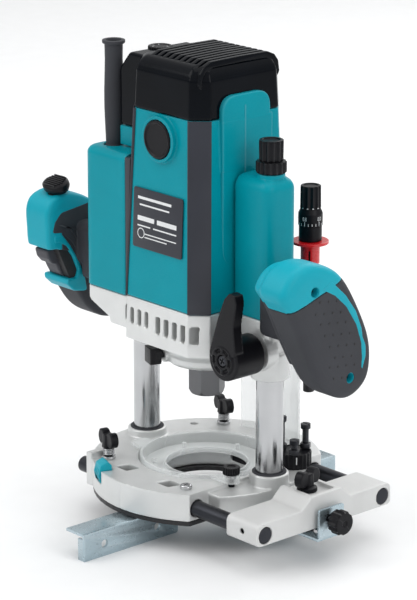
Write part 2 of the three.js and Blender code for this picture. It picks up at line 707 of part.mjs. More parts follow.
// A whole handle at +X, with the neck that joins it to its tower.
function paddleBlank(side) {
  const paddle = side > 0 ? PADDLE : LEFT_PADDLE;
  const towerFace = side > 0 ? RIGHT_TOWER.x1 : -LEFT_TOWER.x0;
  const blank = prism(paddleOutline(paddle), HANDLE_X0 + 3, HANDLE_X1 - 4, "x")
    .add(prism(paddleOutline(paddle, 0.9, 0.93), HANDLE_X0, HANDLE_X1, "x"))
    .add(block(towerFace + GAP, HANDLE_X0 + 4, NECK.y0, NECK.y1, NECK.z0, NECK.z1));
  if (side < 0) return blank;
  const cheek = prism(paddleOutline(paddle, 0.86, 0.86), INNER_CHEEK.x, HANDLE_X0 + 4, "x");
  return blank.add(cheek.intersect(block(100, 130, -80, 60, INNER_CHEEK.z, 220)));
}

// A handle's shell or grip at +X, or its mirrored twin at -X with the trigger's bay cut in it.
function handlePiece(isShell, side) {
  const made = paddleBlank(side).intersect(partingZone(isShell));
  if (side > 0) return made;
  const bay = prism(TRIGGER_BAY, HANDLE_X0 - 5, HANDLE_X1 + 5, "x");
  const buttonBore = round(4.4, 196, 230, [LOCK_OFF.x, LOCK_OFF.y], "z", 12);
  return mirrored(made.subtract(bay).subtract(buttonBore));
}

// The same solid mirrored across the YZ plane.
function mirrored(made) {
  return solid(geometryOf(made).scale(-1, 1, 1));
}

function trigger() {
  const outline = [
    [-45, 161], [-43, 155], [-38, 151], [-37, 147], [-32, 141], [-28, 136.5], [-22, 139],
    [-27, 151], [-37, 160.5],
  ];
  return prism(outline, -141, -126, "x");
}

function lockOffButton() {
  const stem = round(4, 200, 214, [0, 0], "z", 12);
  const pad = new THREE.CylinderGeometry(8.5, 8.5, 4, 20).rotateX(Math.PI / 2).scale(1.25, 0.95, 1);
  return stem.add(solid(pad.rotateX(0.25).translate(0, 0, 214.5)));
}

// ---- Assembly -----------------------------------------------------------------------------

const router = new THREE.Group();
const tool = new THREE.Group();
tool.position.set(SPINDLE_X, SPINDLE_Y, SOLE_Z);
router.add(tool);

const stand = new THREE.Group();
add(stand, "base_casting", baseCasting(), casting());
add(stand, "sole_plate", solePlate(), black());
add(stand, "column_left", column(), steel(), [-COLUMN_X, 0, 0]);
add(stand, "column_right", column(), steel(), [COLUMN_X, 0, 0]);
add(stand, "dust_nozzle", dustNozzle(), clear());
add(stand, "nozzle_screw", nozzleScrew(), black(), [...NOZZLE_SCREW, 0]);
add(stand, "chip_deflector", chipDeflector(), clear());
add(stand, "template_lock", templateLock(), black());
add(stand, "index_clip", indexClip(), handleTeal());
stand.getObjectByName("index_clip").rotation.z = CLIP_ANGLE;
for (const [where, [x, y]] of Object.entries(CLAMP_BOLTS))
  add(stand, `clamp_bolt_${where}`, wingBolt(), black(), [x, y, 0]);
add(stand, "turret", turret(), black());
for (const [which, [top, degrees]] of Object.entries(TURRET_STOPS))
  add(stand, `stop_screw_${which}`, stopScrew(top), darkSteel(), [...stopPlace(degrees), 0]);
add(stand, "limit_rod", limitRod(), steel(), [COLUMN_X, 0, 0]);
add(stand, "limit_nut", limitNut(), black(), [COLUMN_X, 0, 0]);
add(stand, "limit_knob", limitKnob(), black(), [COLUMN_X, 0, 0]);
add(stand, "return_spring_left", spring(5.2, 0.9, 8, 248, 16, [0, 0]), steel(), [-COLUMN_X, 0, 0]);
add(stand, "return_spring_right", spring(5.9, 0.8, 8, 244, 16, [0, 0]), steel(), [COLUMN_X, 0, 0]);
tool.add(stand);

const guide = new THREE.Group();
for (const [where, y] of Object.entries({ front: -ROD_Y, rear: ROD_Y }))
  add(guide, `guide_rod_${where}`, guideRod(), darkSteel(), [0, y, ROD_Z]);
add(guide, "guide_holder", guideHolder(), paintedGrey());
add(guide, "guide_wing_nut", guideWingNut(), black(), [...WING_NUT, 0]);
guide.getObjectByName("guide_wing_nut").rotation.z = THREE.MathUtils.degToRad(102);
add(guide, "straight_guide", straightGuide(), zinc());
add(guide, "fine_adjust_knob", fineAdjustKnob(), black(), [0, -1, ROD_Z]);
tool.add(guide);

const motor = new THREE.Group();
add(motor, "motor_housing", motorHousing(), teal());
add(motor, "left_tower", leftTower(), teal());
add(motor, "right_tower", rightTower(), teal());
add(motor, "top_cap", topCap(), gloss());
add(motor, "speed_dial", speedDial(), black(), [-47, -3, 0]);
add(motor, "corner_strip_left", cornerStrip(-1), strip());
add(motor, "corner_strip_right", cornerStrip(1), strip());
add(motor, "nameplate", nameplate(), strip());
for (const [where, side] of Object.entries({ front: -1, rear: 1 })) {
  add(motor, `brush_cap_${where}`, brushCap(side), black());
  add(motor, `brush_${where}`, carbonBrush(side), carbon());
}
add(motor, "stator", stator(), darkSteel());
add(motor, "bearing_housing", bearingHousing(), casting());
add(motor, "bearing_lower", tube(17.2, 8.6, 104.4, 118, [0, 0], "z", 24), steel());
add(motor, "bearing_upper", tube(13, 5.4, 288, 298, [0, 0], "z", 24), steel());
add(motor, "shaft_lock_button", shaftLockButton(), black(), [0, 0, LOCK_Z]);
motor.getObjectByName("shaft_lock_button").rotation.z = LOCK_ANGLE;
add(motor, "lock_lever", lockLever(), black());
add(motor, "cord_guard", cordGuard(), grip(), [...CORD_GUARD, 0]);
add(motor, "depth_pole", depthPole(), black(), [POLE.x, POLE.y, 0]);
add(motor, "depth_pointer", depthPointer(), red(), [POLE.x, POLE.y, 0]);
add(motor, "depth_knob", depthKnob(), black(), [POLE.x, POLE.y, 0]);
for (const [where, side] of Object.entries({ right: 1, left: -1 })) {
  add(motor, `handle_${where}_shell`, handlePiece(true, side), handleTeal());
  add(motor, `handle_${where}_grip`, handlePiece(false, side), grip());
}
add(motor, "trigger", trigger(), grip());
add(motor, "lock_off_button", lockOffButton(), black(), [-LOCK_OFF.x, LOCK_OFF.y, 0]);
tool.add(motor);

const rotor = new THREE.Group();
add(rotor, "spindle_shaft", spindleShaft(), steel());
add(rotor, "armature_core", armatureCore(), darkSteel());
add(rotor, "commutator", commutator(), copper());
add(rotor, "cooling_fan", coolingFan(), black());
add(rotor, "collet_cone", colletCone(), steel());
add(rotor, "collet_nut", colletNut(), darkSteel());
motor.add(rotor);

export default router;
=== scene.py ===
"""A plunge router on a pale floor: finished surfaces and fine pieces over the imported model.

Shapes are made in millimetres from the spindle's axis and the underside of the sole. put()
moves each one into the row frame, in metres, and hangs it on its body.
"""

import json
from math import atan, cos, pi, radians, sin, tan

import bmesh
import bpy
from mathutils import Matrix, Vector


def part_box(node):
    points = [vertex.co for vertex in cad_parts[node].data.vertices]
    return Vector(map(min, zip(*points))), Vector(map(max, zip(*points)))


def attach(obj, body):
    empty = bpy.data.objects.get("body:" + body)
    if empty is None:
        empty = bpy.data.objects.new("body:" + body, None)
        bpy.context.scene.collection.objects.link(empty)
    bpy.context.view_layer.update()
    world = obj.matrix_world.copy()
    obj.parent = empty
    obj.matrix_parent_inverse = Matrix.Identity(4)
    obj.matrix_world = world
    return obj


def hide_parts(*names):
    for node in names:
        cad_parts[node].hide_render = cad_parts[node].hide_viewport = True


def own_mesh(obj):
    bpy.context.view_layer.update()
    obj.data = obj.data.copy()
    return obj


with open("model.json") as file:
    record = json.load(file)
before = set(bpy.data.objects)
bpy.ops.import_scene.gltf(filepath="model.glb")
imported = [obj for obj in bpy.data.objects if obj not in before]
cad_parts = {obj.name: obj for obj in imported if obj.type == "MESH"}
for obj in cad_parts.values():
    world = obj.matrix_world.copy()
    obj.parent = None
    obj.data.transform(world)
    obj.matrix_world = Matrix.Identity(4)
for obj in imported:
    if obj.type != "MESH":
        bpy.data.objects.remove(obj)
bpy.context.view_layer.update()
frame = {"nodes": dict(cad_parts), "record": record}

RECORD = frame["record"]
BODY = {node: body for body, nodes in RECORD["behaviour"]["bodies"].items() for node in nodes}
SLOT = {part["node"]: part["material_slot"] for part in RECORD["subparts"]}


def centre_of(node, axis):
    low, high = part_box(node)
    return (low[axis] + high[axis]) / 2


ORIGIN = Vector((
    centre_of("spindle_shaft", 0), centre_of("spindle_shaft", 1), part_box("sole_plate")[0][2],
))
PLACE = Matrix.Translation(ORIGIN) @ Matrix.Scale(0.001, 4)
TO_MM = PLACE.inverted()


def span(node):
    """A CAD node's limits in millimetres: x0, x1, y0, y1, z0, z1."""
    low, high = (TO_MM @ Vector(corner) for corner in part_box(node))
    return low.x, high.x, low.y, high.y, low.z, high.z


def heights(node):
    """A CAD node's lowest and highest point, in millimetres."""
    return span(node)[4:]


def axis_of(node):
    """Where an upright CAD node's middle line stands, in millimetres."""
    x0, x1, y0, y1, _, _ = span(node)
    return (x0 + x1) / 2, (y0 + y1) / 2


def upright(node):
    """An upright CAD node's middle line and its lowest and highest point."""
    return (axis_of(node), *heights(node))


def new_object(name, data):
    """A new object in the scene's own collection."""
    obj = bpy.data.objects.new(name, data)
    bpy.context.scene.collection.objects.link(obj)
    return obj


# ---- Camera and light

LIGHT_AIM = Vector((0, 0, 0.15))


def camera():
    data = bpy.data.cameras.new("camera")
    data.sensor_width = 36
    data.lens = 172.1
    data.clip_end = 50
    data.shift_x = 1.6 / 600
    eye = new_object("camera", data)
    eye.location = PLACE @ Vector((1488.9, -1340.6, 749.1))
    eye.rotation_euler = (radians(90 - 16.8), 0, radians(48))
    bpy.context.scene.camera = eye


def area_light(name, place, size, power):
    data = bpy.data.lights.new(name, "AREA")
    data.shape = "RECTANGLE"
    data.size, data.size_y = size
    data.energy = power
    lamp = new_object(name, data)
    lamp.location = place
    lamp.rotation_euler = (LIGHT_AIM - Vector(place)).to_track_quat("-Z", "Y").to_euler()


def studio():
    """Large soft lights round a pale floor, and a world that is dimmer towards the horizon."""
    area_light("key", (-0.9, -1.5, 1.7), (1.5, 1.5), 16)
    area_light("fill", (1.9, 0.1, 1.1), (1.0, 1.4), 9)
    area_light("top", (0.1, 0.3, 2.2), (2.0, 2.0), 15)
    area_light("back", (-0.6, 1.8, 1.2), (1.4, 1.0), 9)
    bpy.context.scene.view_settings.view_transform = "Standard"
    world = bpy.data.worlds.new("studio")
    bpy.context.scene.world = world
    world.use_nodes = True
    nodes, links = world.node_tree.nodes, world.node_tree.links
    coords = nodes.new("ShaderNodeTexCoord")
    split = nodes.new("ShaderNodeSeparateXYZ")
    ramp = nodes.new("ShaderNodeValToRGB")
    sky = [(0.0, (0.42, 0.43, 0.44, 1)), (0.55, (0.95, 0.95, 0.95, 1))]
    for element, (place, colour) in zip(ramp.color_ramp.elements, sky):
        element.position, element.color = place, colour
    links.new(coords.outputs["Generated"], split.inputs[0])
    links.new(split.outputs["Z"], ramp.inputs[0])
    links.new(ramp.outputs[0], nodes["Background"].inputs[0])
    nodes["Background"].inputs[1].default_value = 0.86


# ---- Materials

PATCH_SCALE = 38
EDGE_POINTINESS = (0.52, 0.62)
BUMP_DEPTH = 0.0004


def set_inputs(node, **values):
    """Sets a node's inputs by name; an underscore stands for a space."""
    for name, value in values.items():
        node.inputs[name.replace("_", " ")].default_value = value
    return node


def noise(tree, scale, detail=3.0):
    coords = tree.nodes.new("ShaderNodeTexCoord")
    texture = set_inputs(tree.nodes.new("ShaderNodeTexNoise"), Scale=scale, Detail=detail)
    tree.links.new(coords.outputs["Object"], texture.inputs["Vector"])
    return texture, coords


def ranged(tree, value, low, high):
    """A noise value, which mostly lies between 0.3 and 0.7, spread from low to high."""
    node = set_inputs(tree.nodes.new("ShaderNodeMapRange"),
                      From_Min=0.3, From_Max=0.7, To_Min=low, To_Max=high)
    tree.links.new(value, node.inputs["Value"])
    return node.outputs[0]


def finish(name, colour, rough, metal=0.0, coat=0.0, grain=(1500, 0.05), blotch=0.07,
           rough_spread=0.06, stretch=(1, 1, 1), worn=0.0, shine=0.5):
    """A moulded, cast or machined surface: mottled colour and gloss, a fine bump, worn edges.

    grain is the bump's scale and strength, and stretch draws the grain out along an axis.
    """
    material = bpy.data.materials.new(name)
    material.use_nodes = True
    tree = material.node_tree
    links = tree.links
    shader = set_inputs(tree.nodes["Principled BSDF"], Metallic=metal, Coat_Weight=coat,
                        Coat_Roughness=0.12, Specular_IOR_Level=shine)

    patches, _ = noise(tree, PATCH_SCALE)
    tone = tree.nodes.new("ShaderNodeMix")
    tone.data_type = "RGBA"
    dark = [channel * (1 - blotch) for channel in colour]
    light = [min(1.0, channel * (1 + blotch)) for channel in colour]
    set_inputs(tone, A=(*dark, 1), B=(*light, 1))
    links.new(ranged(tree, patches.outputs[0], 0, 1), tone.inputs["Factor"])
    shade = tone.outputs["Result"]
    if worn:
        geometry = tree.nodes.new("ShaderNodeNewGeometry")
        first, last = EDGE_POINTINESS
        edge = set_inputs(tree.nodes.new("ShaderNodeMapRange"),
                          From_Min=first, From_Max=last, To_Max=worn)
        links.new(geometry.outputs["Pointiness"], edge.inputs["Value"])
        rub = tree.nodes.new("ShaderNodeMix")
        rub.data_type = "RGBA"
        paler = [channel + (1 - channel) * 0.35 for channel in colour]
        set_inputs(rub, B=(*paler, 1))
        links.new(edge.outputs[0], rub.inputs["Factor"])
        links.new(shade, rub.inputs["A"])
        shade = rub.outputs["Result"]
    links.new(shade, shader.inputs["Base Color"])

    fine, coords = noise(tree, grain[0], 5)
    if stretch != (1, 1, 1):
        drawn = set_inputs(tree.nodes.new("ShaderNodeMapping"), Scale=stretch)
        links.new(coords.outputs["Object"], drawn.inputs["Vector"])
        links.new(drawn.outputs[0], fine.inputs["Vector"])
    links.new(ranged(tree, fine.outputs[0], rough - rough_spread, rough + rough_spread),
              shader.inputs["Roughness"])
    bump = set_inputs(tree.nodes.new("ShaderNodeBump"), Strength=grain[1], Distance=BUMP_DEPTH)
    links.new(fine.outputs[0], bump.inputs["Height"])
    links.new(bump.outputs[0], shader.inputs["Normal"])
    return material


def clear_plastic():
    """Clear moulded plastic that is denser and glossier where it is seen edge on."""
    material = finish("clear_plastic", (0.93, 0.96, 0.96), 0.08, grain=(500, 0.02), blotch=0.02,
                      rough_spread=0.03)
    tree = material.node_tree
    shader = tree.nodes["Principled BSDF"]
    facing = set_inputs(tree.nodes.new("ShaderNodeLayerWeight"), Blend=0.35)
    thick = set_inputs(tree.nodes.new("ShaderNodeMapRange"), To_Min=0.16, To_Max=0.75)
    tree.links.new(facing.outputs["Facing"], thick.inputs["Value"])
    tree.links.new(thick.outputs[0], shader.inputs["Alpha"])
    return material


SURFACES = {
    "cast_aluminium": ((0.69, 0.70, 0.695), 0.40,
                       dict(metal=0.55, grain=(1700, 0.16), blotch=0.05, worn=0.5)),
    "grey_casting": ((0.63, 0.635, 0.63), 0.50,
                     dict(metal=0.15, grain=(1900, 0.18), blotch=0.04, worn=0.5)),
    "teal_plastic": ((0.000, 0.270, 0.335), 0.30,
                     dict(grain=(2200, 0.07), blotch=0.04, worn=0.25, shine=0.12)),
    "handle_teal": ((0.004, 0.340, 0.435), 0.42,
                    dict(grain=(2600, 0.14), blotch=0.04, worn=0.25, shine=0.2)),
    "gloss_black": ((0.002, 0.003, 0.005), 0.14,
                    dict(grain=(900, 0.02), blotch=0.15, rough_spread=0.04, worn=0.05, shine=0.1)),
    "black_plastic": ((0.005, 0.005, 0.007), 0.36,
                      dict(grain=(2200, 0.12), blotch=0.12, worn=0.08, shine=0.18)),
    "grey_trim": ((0.026, 0.028, 0.038), 0.40,
                  dict(grain=(2200, 0.10), blotch=0.08, worn=0.12, shine=0.3)),
    "trigger_grey": ((0.06, 0.06, 0.07), 0.5,
                     dict(grain=(2200, 0.14), blotch=0.06, worn=0.15, shine=0.25)),
    "grip_rubber": ((0.040, 0.042, 0.049), 0.62,
                    dict(grain=(3000, 0.22), blotch=0.07, worn=0.08, shine=0.25)),
    "red_plastic": ((0.60, 0.006, 0.010), 0.28, dict(coat=0.3, grain=(1500, 0.04), blotch=0.05)),
    "bright_steel": ((0.50, 0.505, 0.515), 0.2,
                     dict(metal=1.0, grain=(900, 0.06), blotch=0.05, stretch=(6, 6, 0.4))),
    "dark_steel": ((0.035, 0.037, 0.044), 0.34,
                   dict(metal=0.85, grain=(1300, 0.10), blotch=0.12, worn=0.3)),
    "black_steel": ((0.007, 0.007, 0.009), 0.36,
                    dict(metal=0.3, grain=(1500, 0.10), blotch=0.1, worn=0.3)),
    "zinc_steel": ((0.42, 0.52, 0.57), 0.30,
                   dict(metal=0.85, grain=(500, 0.03), blotch=0.05, rough_spread=0.05, worn=0.3)),
    "copper": ((0.55, 0.24, 0.12), 0.3, dict(metal=1.0, grain=(1200, 0.08))),
    "carbon": ((0.022, 0.022, 0.024), 0.65, dict(grain=(2600, 0.3))),
    "white_print": ((0.74, 0.75, 0.76), 0.5, dict(grain=(3000, 0.05))),
}
LOOKS = {name: finish(name, colour, rough, **rest)
         for name, (colour, rough, rest) in SURFACES.items()}
LOOKS["clear_plastic"] = clear_plastic()


# ---- Making shapes

# Local (first, second, height) carried over to x, y, z: [y, z] along x, [x, z] along y.
AXES = {
    "x": Matrix(((0, 0, 1, 0), (1, 0, 0, 0), (0, 1, 0, 0), (0, 0, 0, 1))),
    "y": Matrix(((1, 0, 0, 0), (0, 0, 1, 0), (0, 1, 0, 0), (0, 0, 0, 1))),
    "z": Matrix.Identity(4),
}


def as_object(bm):
    bmesh.ops.remove_doubles(bm, verts=bm.verts, dist=1e-4)
    bmesh.ops.recalc_face_normals(bm, faces=bm.faces)
    mesh = bpy.data.meshes.new("shape")
    bm.to_mesh(mesh)
    bm.free()
    return new_object("shape", mesh)


def skin(rings, axis="z", closed=False):
    """Quads between rings of points, with a cap at each end, or end to end when closed."""
    bm = bmesh.new()
    made = [[bm.verts.new(point) for point in ring] for ring in rings]
    count = len(made[0])
    pairs = list(zip(made, made[1:]))
    if closed:
        pairs.append((made[-1], made[0]))
    else:
        bm.faces.new(made[0])
        bm.faces.new(made[-1])
    for low, high in pairs:
        for i in range(count):
            j = (i + 1) % count
            bm.faces.new((low[i], low[j], high[j], high[i]))
    bm.transform(AXES[axis])
    return as_object(bm)


def prism(outline, low, high, axis="z"):
    """An outline pushed along an axis."""
    return skin([[(a, b, h) for a, b in outline] for h in (low, high)], axis)


def box(x0, x1, y0, y1, z0, z1):
    return prism([(x0, y0), (x1, y0), (x1, y1), (x0, y1)], z0, z1)


def fillet(points, radius=0.0, steps=5):
    """A closed outline with its corners rounded; a point's third number is its own radius."""
    outline = []
    for i, point in enumerate(points):
        corner = Vector(point[:2])
        before = Vector(points[i - 1][:2]) - corner
        after = Vector(points[(i + 1) % len(points)][:2]) - corner
        wanted = point[2] if len(point) > 2 else radius
        if wanted <= 0:
            outline.append(tuple(corner))
            continue
        reach = wanted / max(tan(before.angle(after) / 2), 0.05)
        reach = min(reach, before.length * 0.499, after.length * 0.499)
        first = corner + before.normalized() * reach
        last = corner + after.normalized() * reach
        for k in range(steps + 1):
            t = k / steps
            outline.append(tuple(first * (1 - t) ** 2 + corner * 2 * t * (1 - t) + last * t ** 2))
    return outline


def plate(x0, x1, y0, y1, radius):
    """A rounded rectangle's outline."""
    return fillet([(x0, y0), (x1, y0), (x1, y1), (x0, y1)], radius, 8)


def lathe(profile, centre=(0, 0), axis="z", steps=96, flutes=0, depth=0.0, fluted_from=1e9):
    """A closed profile of (radius, height) turned about an axis.

    Points from fluted_from outwards are scalloped by depth, flutes times round.
    """
    rings = []
    for i in range(steps):
        turn = 2 * pi * i / steps
        dip = depth * (0.5 - 0.5 * cos(flutes * turn)) ** 0.7
        ring = []
        for r, h in profile:
            reach = r - dip if r >= fluted_from else r
            ring.append((centre[0] + reach * cos(turn), centre[1] + reach * sin(turn), h))
        rings.append(ring)
    return skin(rings, axis, closed=True)


def disc(r, low, high, centre=(0, 0), axis="z", edge=0.0, steps=96):
    """A round bar with its end edges rounded."""
    profile = fillet([(0, low, 0), (r, low, edge), (r, high, edge), (0, high, 0)], steps=4)
    return lathe(profile, centre, axis, steps)


def bake(obj):
    """Applies the object's modifiers to its mesh."""
    depsgraph = bpy.context.evaluated_depsgraph_get()
    mesh = bpy.data.meshes.new_from_object(obj.evaluated_get(depsgraph))
    obj.modifiers.clear()
    obj.data = mesh
    return obj


def mesh_of(curve):
    """A curve or text turned into a mesh object of the same name."""
    maker = new_object(curve.name, curve)
    mesh = bpy.data.meshes.new_from_object(maker)
    bpy.data.objects.remove(maker)
    return new_object(curve.name, mesh)


def carve(obj, *tools, operation="DIFFERENCE"):
    """Cuts the tools out of the object, or joins them on; the tools are used up."""
    for tool in tools:
        cut = obj.modifiers.new("cut", "BOOLEAN")
        cut.operation = operation
        cut.solver = "EXACT"
        cut.object = tool
    bake(obj)
    for tool in tools:
        bpy.data.objects.remove(tool)
    return obj


def carve_each(obj, cuts):
    """Cuts the tools out one after another, for cuts that meet each other."""
    for cut in cuts:
        obj = carve(obj, cut)
    return obj


def unite(obj, *tools):
    return carve(obj, *tools, operation="UNION")


def gather(*objs):
    """Several shapes as one object, without joining their surfaces."""
    bm = bmesh.new()
    for obj in objs:
        obj.data.transform(obj.matrix_world)
        bm.from_mesh(obj.data)
        bpy.data.objects.remove(obj)
    return as_object(bm)


def soften(obj, voxel, rounds):
    """Gives a shape the soft edges and fillets of a casting or a moulding."""
    remesh = obj.modifiers.new("remesh", "REMESH")
    remesh.mode = "VOXEL"
    remesh.voxel_size = voxel * 1
    smooth = obj.modifiers.new("smooth", "SMOOTH")
    smooth.iterations = rounds
    smooth.factor = 0.5
    return bake(obj)


def rounded(obj, width, segments, angle=35):
    """Rounds every edge sharper than the angle."""
    bevel = obj.modifiers.new("bevel", "BEVEL")
    bevel.width = width
    bevel.segments = segments
    bevel.limit_method = "ANGLE"
    bevel.angle_limit = radians(angle)
    return bake(obj)


def cad_copy(node):
    """A CAD node's shape as a new mesh in millimetres, its flat faces made whole."""
    bm = bmesh.new()
    bm.from_mesh(frame["nodes"][node].data)
    bm.transform(TO_MM)
    bmesh.ops.remove_doubles(bm, verts=bm.verts, dist=1e-3)
    bmesh.ops.dissolve_limit(
        bm, angle_limit=radians(1.5), verts=bm.verts, edges=bm.edges, use_dissolve_boundaries=False)
    return as_object(bm)


def turned_about(obj, angle, centre=(0, 0, 0), axis="Z"):
    """The shape turned by an angle in radians about a line through centre."""
    middle = Matrix.Translation(Vector(centre))
    obj.data.transform(middle @ Matrix.Rotation(angle, 4, axis) @ middle.inverted())
    return obj


def put(obj, name, body, slot, nodes, sharp):
    """Moves a finished shape into the row frame, and hangs it on its body."""
    obj.data.transform(PLACE)
    obj.data.update()
    obj.name = name
    obj.data.name = name
    obj.data.shade_smooth()
    obj.data.set_sharp_from_angle(angle=radians(sharp))
    obj.data.materials.clear()
    obj.data.materials.append(LOOKS[slot])
    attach(obj, body)
    if nodes:
        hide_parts(*nodes)
    return obj


def stand_for(obj, node, sharp=38):
    """The shape takes the place, body and finish of one CAD node."""
    return put(obj, f"{node}_fine", BODY[node], SLOT[node], (node,), sharp)


def on(obj, name, node, slot=None, sharp=38):
    """A small extra piece that moves with a CAD node."""
    return put(obj, name, BODY[node], slot or SLOT[node], (), sharp)


def cross_cut(head, slot, turns, centre, axis="Z"):
    """A screw head or sleeve with bar-shaped slots, each turned about a centre."""
    for turn in turns:
        head = carve(head, turned_about(box(*slot), radians(turn), centre, axis))
    return head


def mark_round(name, node, centre, turn, reach, half, low, high):
    """A printed mark that stands out from a centre by reach, turned about it."""
    x, y = centre
    mark = box(x + reach[0], x + reach[1], y - half, y + half, low, high)
    on(turned_about(mark, turn, (x, y, 0)), name, node, "white_print")


# ---- Base

COLUMN_X = axis_of("column_right")[0]
ROD_Y = axis_of("guide_rod_rear")[1]
ROD_Z = sum(span("guide_rod_rear")[4:]) / 2
RIM_TOP, LEDGE_TOP, LEDGE_X = 24, 21, 54
BOSS_R, RECESS_R, OPENING_R = 14.4, 51, 37
COLUMN_R, COLUMN_BORE_R, ROD_R = 10, 8, 6
SPRING_SEAT = 26.6
CLIP_ANGLE = radians(248)
COLUMNS = {"left": -COLUMN_X, "right": COLUMN_X}
CLAMPS = {"front": axis_of("clamp_bolt_front"), "rear": axis_of("clamp_bolt_rear")}


def base_casting():
    _, _, y0, y1, foot, boss_top = span("base_casting")
    rim = disc((y1 - y0) / 2, foot, RIM_TOP, steps=180)
    casting = carve(rim, box(LEDGE_X, 95, -90, 90, 0, 40))
    ledge = carve(disc(80, foot, LEDGE_TOP, steps=180), box(LEDGE_X - 1, 95, -47, 47, 0, 40),
                  operation="INTERSECT")
    casting = carve(unite(casting, ledge), disc(RECESS_R, 15, 40, steps=140))
    flared = [(0, foot), (19.5, foot), (16.5, 12), (14.8, 20), (BOSS_R, boss_top), (0, boss_top)]
    left_boss = lathe(flared, (-COLUMN_X, 0))
    right_boss = disc(BOSS_R, foot, boss_top, (COLUMN_X, 0))
    ribs = [prism([(-78, 30), (-66, 12), (-60, 14), (-52, 46), (-60, 52)], foot, 22.5),
            prism([(-76, -34), (-66, -12), (-60, -14), (-50, -40), (-58, -50)], foot, 22.5),
            box(-56, -50, -70, -48, foot, 29)]
    casting = unite(casting, left_boss, right_boss, *ribs)
    cuts = [disc(OPENING_R, 0, 40, steps=140)]
    cuts += [disc(COLUMN_R + 0.2, 6.8, 40, (x, 0)) for x in COLUMNS.values()]
    cuts += [disc(ROD_R + 0.4, -90, 90, (y, ROD_Z), "x", steps=48) for y in (-ROD_Y, ROD_Y)]
    cuts += [disc(3.3, ROD_Z, 40, place, steps=32) for place in CLAMPS.values()]
    for x in (-20, 26):
        pocket = fillet([(x - 8, -66), (x + 5, -66), (x + 8, -55), (x - 5, -55)], 1.5)
        cuts.append(prism(pocket, 9, 40))
    cuts += [turned_about(box(75.6, 88, -6.5, 6.5, 14, 40), CLIP_ANGLE),
             box(-0.45, 0.45, -90, -84.5, 0, 40),
             disc(3, 0, 40, (-60, 41), steps=32),
             disc(2.7, 10, 40, axis_of("nozzle_screw"), steps=32),
             disc(13.6, 20.3, 40, axis_of("turret"), steps=64),
             box(-12, 8, 30, 48, 8.5, 20)]
    stand_for(soften(carve_each(casting, cuts), 0.75, 4), "base_casting")


def base_screws():
    """Two cross-head screws on the base's rim."""
    low = RIM_TOP - 0.4
    for number, (x, y) in enumerate([(42, -ROD_Y), (41, 57)]):
        head = disc(4.6, low, low + 3.6, (x, y), edge=1.8, steps=40)
        slot = (x - 2.6, x + 2.6, y - 0.5, y + 0.5, low + 2.2, low + 5)
        head = cross_cut(head, slot, (20, 110), (x, y, 0))
        on(head, f"base_screw_{number}", "base_casting", "bright_steel")


def sole_and_columns():
    foot, top = heights("column_left")
    wall = [(COLUMN_BORE_R, foot, 0), (COLUMN_R, foot, 0.6), (COLUMN_R, top, 0.6),
            (COLUMN_BORE_R, top, 0)]
    collar = fillet([(10.05, 29), (12.6, 29), (12.6, 30.7), (10.05, 30.7)], 0.4)
    for side, x in COLUMNS.items():
        stand_for(lathe(fillet(wall), (x, 0), steps=128), f"column_{side}")
        on(lathe(collar, (x, 0)), f"column_seal_{side}", "column_left", "grip_rubber")


def knob(node, centre, profile, flutes, depth, fluted_from, steps=None, axis="z"):
    """A fluted knob in place of a CAD node."""
    stand_for(lathe(fillet(profile, 0.5, 3), centre, axis, steps or flutes * 10, flutes, depth,
                    fluted_from), node)


def dust_nozzle():
    x, y = axis_of("nozzle_screw")
    seat, top = RIM_TOP + 0.3, 26.5
    profile = fillet([(30, 15.3), (49.5, 15.3), (49.5, top), (47.5, top), (47.5, 17.5),
                      (32, 17.5), (32, 20), (30, 20)], 0.5, 3)
    ring = lathe(profile, steps=140)
    ear = unite(prism(plate(30, x + 4, y - 6.5, y + 6.5, 3), seat, top),
                disc(6.5, seat, 30, (x, y), steps=48))
    left_ear = fillet([(-57, -14), (-55, -27), (-42, -30), (-36, -20), (-38, -10)], 3)
    left_ear = prism(left_ear, seat, top)
    for lug in (ear, left_ear):
        ring = unite(ring, carve(lug, disc(48.3, 10, 40, steps=140)))
    for k in range(5):
        bump = disc(1.6, 17, 21.5, (39, 0), steps=24)
        ring = unite(ring, turned_about(bump, radians(40 + 62 * k)))
    stand_for(carve(ring, disc(2.7, 10, 40, (x, y), steps=32)), "dust_nozzle")
    spring_on("nozzle_spring", "nozzle_screw", (x, y), 3.4, 0.4, SPRING_SEAT, 30.4, 4)


def helix(centre, reach, wire, low, high, turns):
    """A coil spring as a bevelled curve turned into a mesh."""
    curve = bpy.data.curves.new("coil", "CURVE")
    curve.dimensions = "3D"
    curve.bevel_depth = wire
    curve.bevel_resolution = 3
    curve.use_fill_caps = True
    spline = curve.splines.new("POLY")
    count = turns * 28
    spline.points.add(count)
    for i in range(count + 1):
        turn = 2 * pi * turns * i / count
        height = low + wire + (high - low - 2 * wire) * i / count
        spline.points[i].co = (
            centre[0] + reach * cos(turn), centre[1] + reach * sin(turn), height, 1)
    return mesh_of(curve)


def spring_on(name, node, centre, reach, wire, low, high, turns):
    on(helix(centre, reach, wire, low, high, turns), name, node, "bright_steel", sharp=180)


def nozzle_screw():
    top = span("nozzle_screw")[5]
    profile = [(0, 12, 0), (2.3, 12), (2.3, 30.4), (6.3, 30.4), (6.3, top), (3.4, top),
               (3, top - 0.8), (0, top - 0.8, 0)]
    knob("nozzle_screw", axis_of("nozzle_screw"), profile, 22, 0.55, 6)


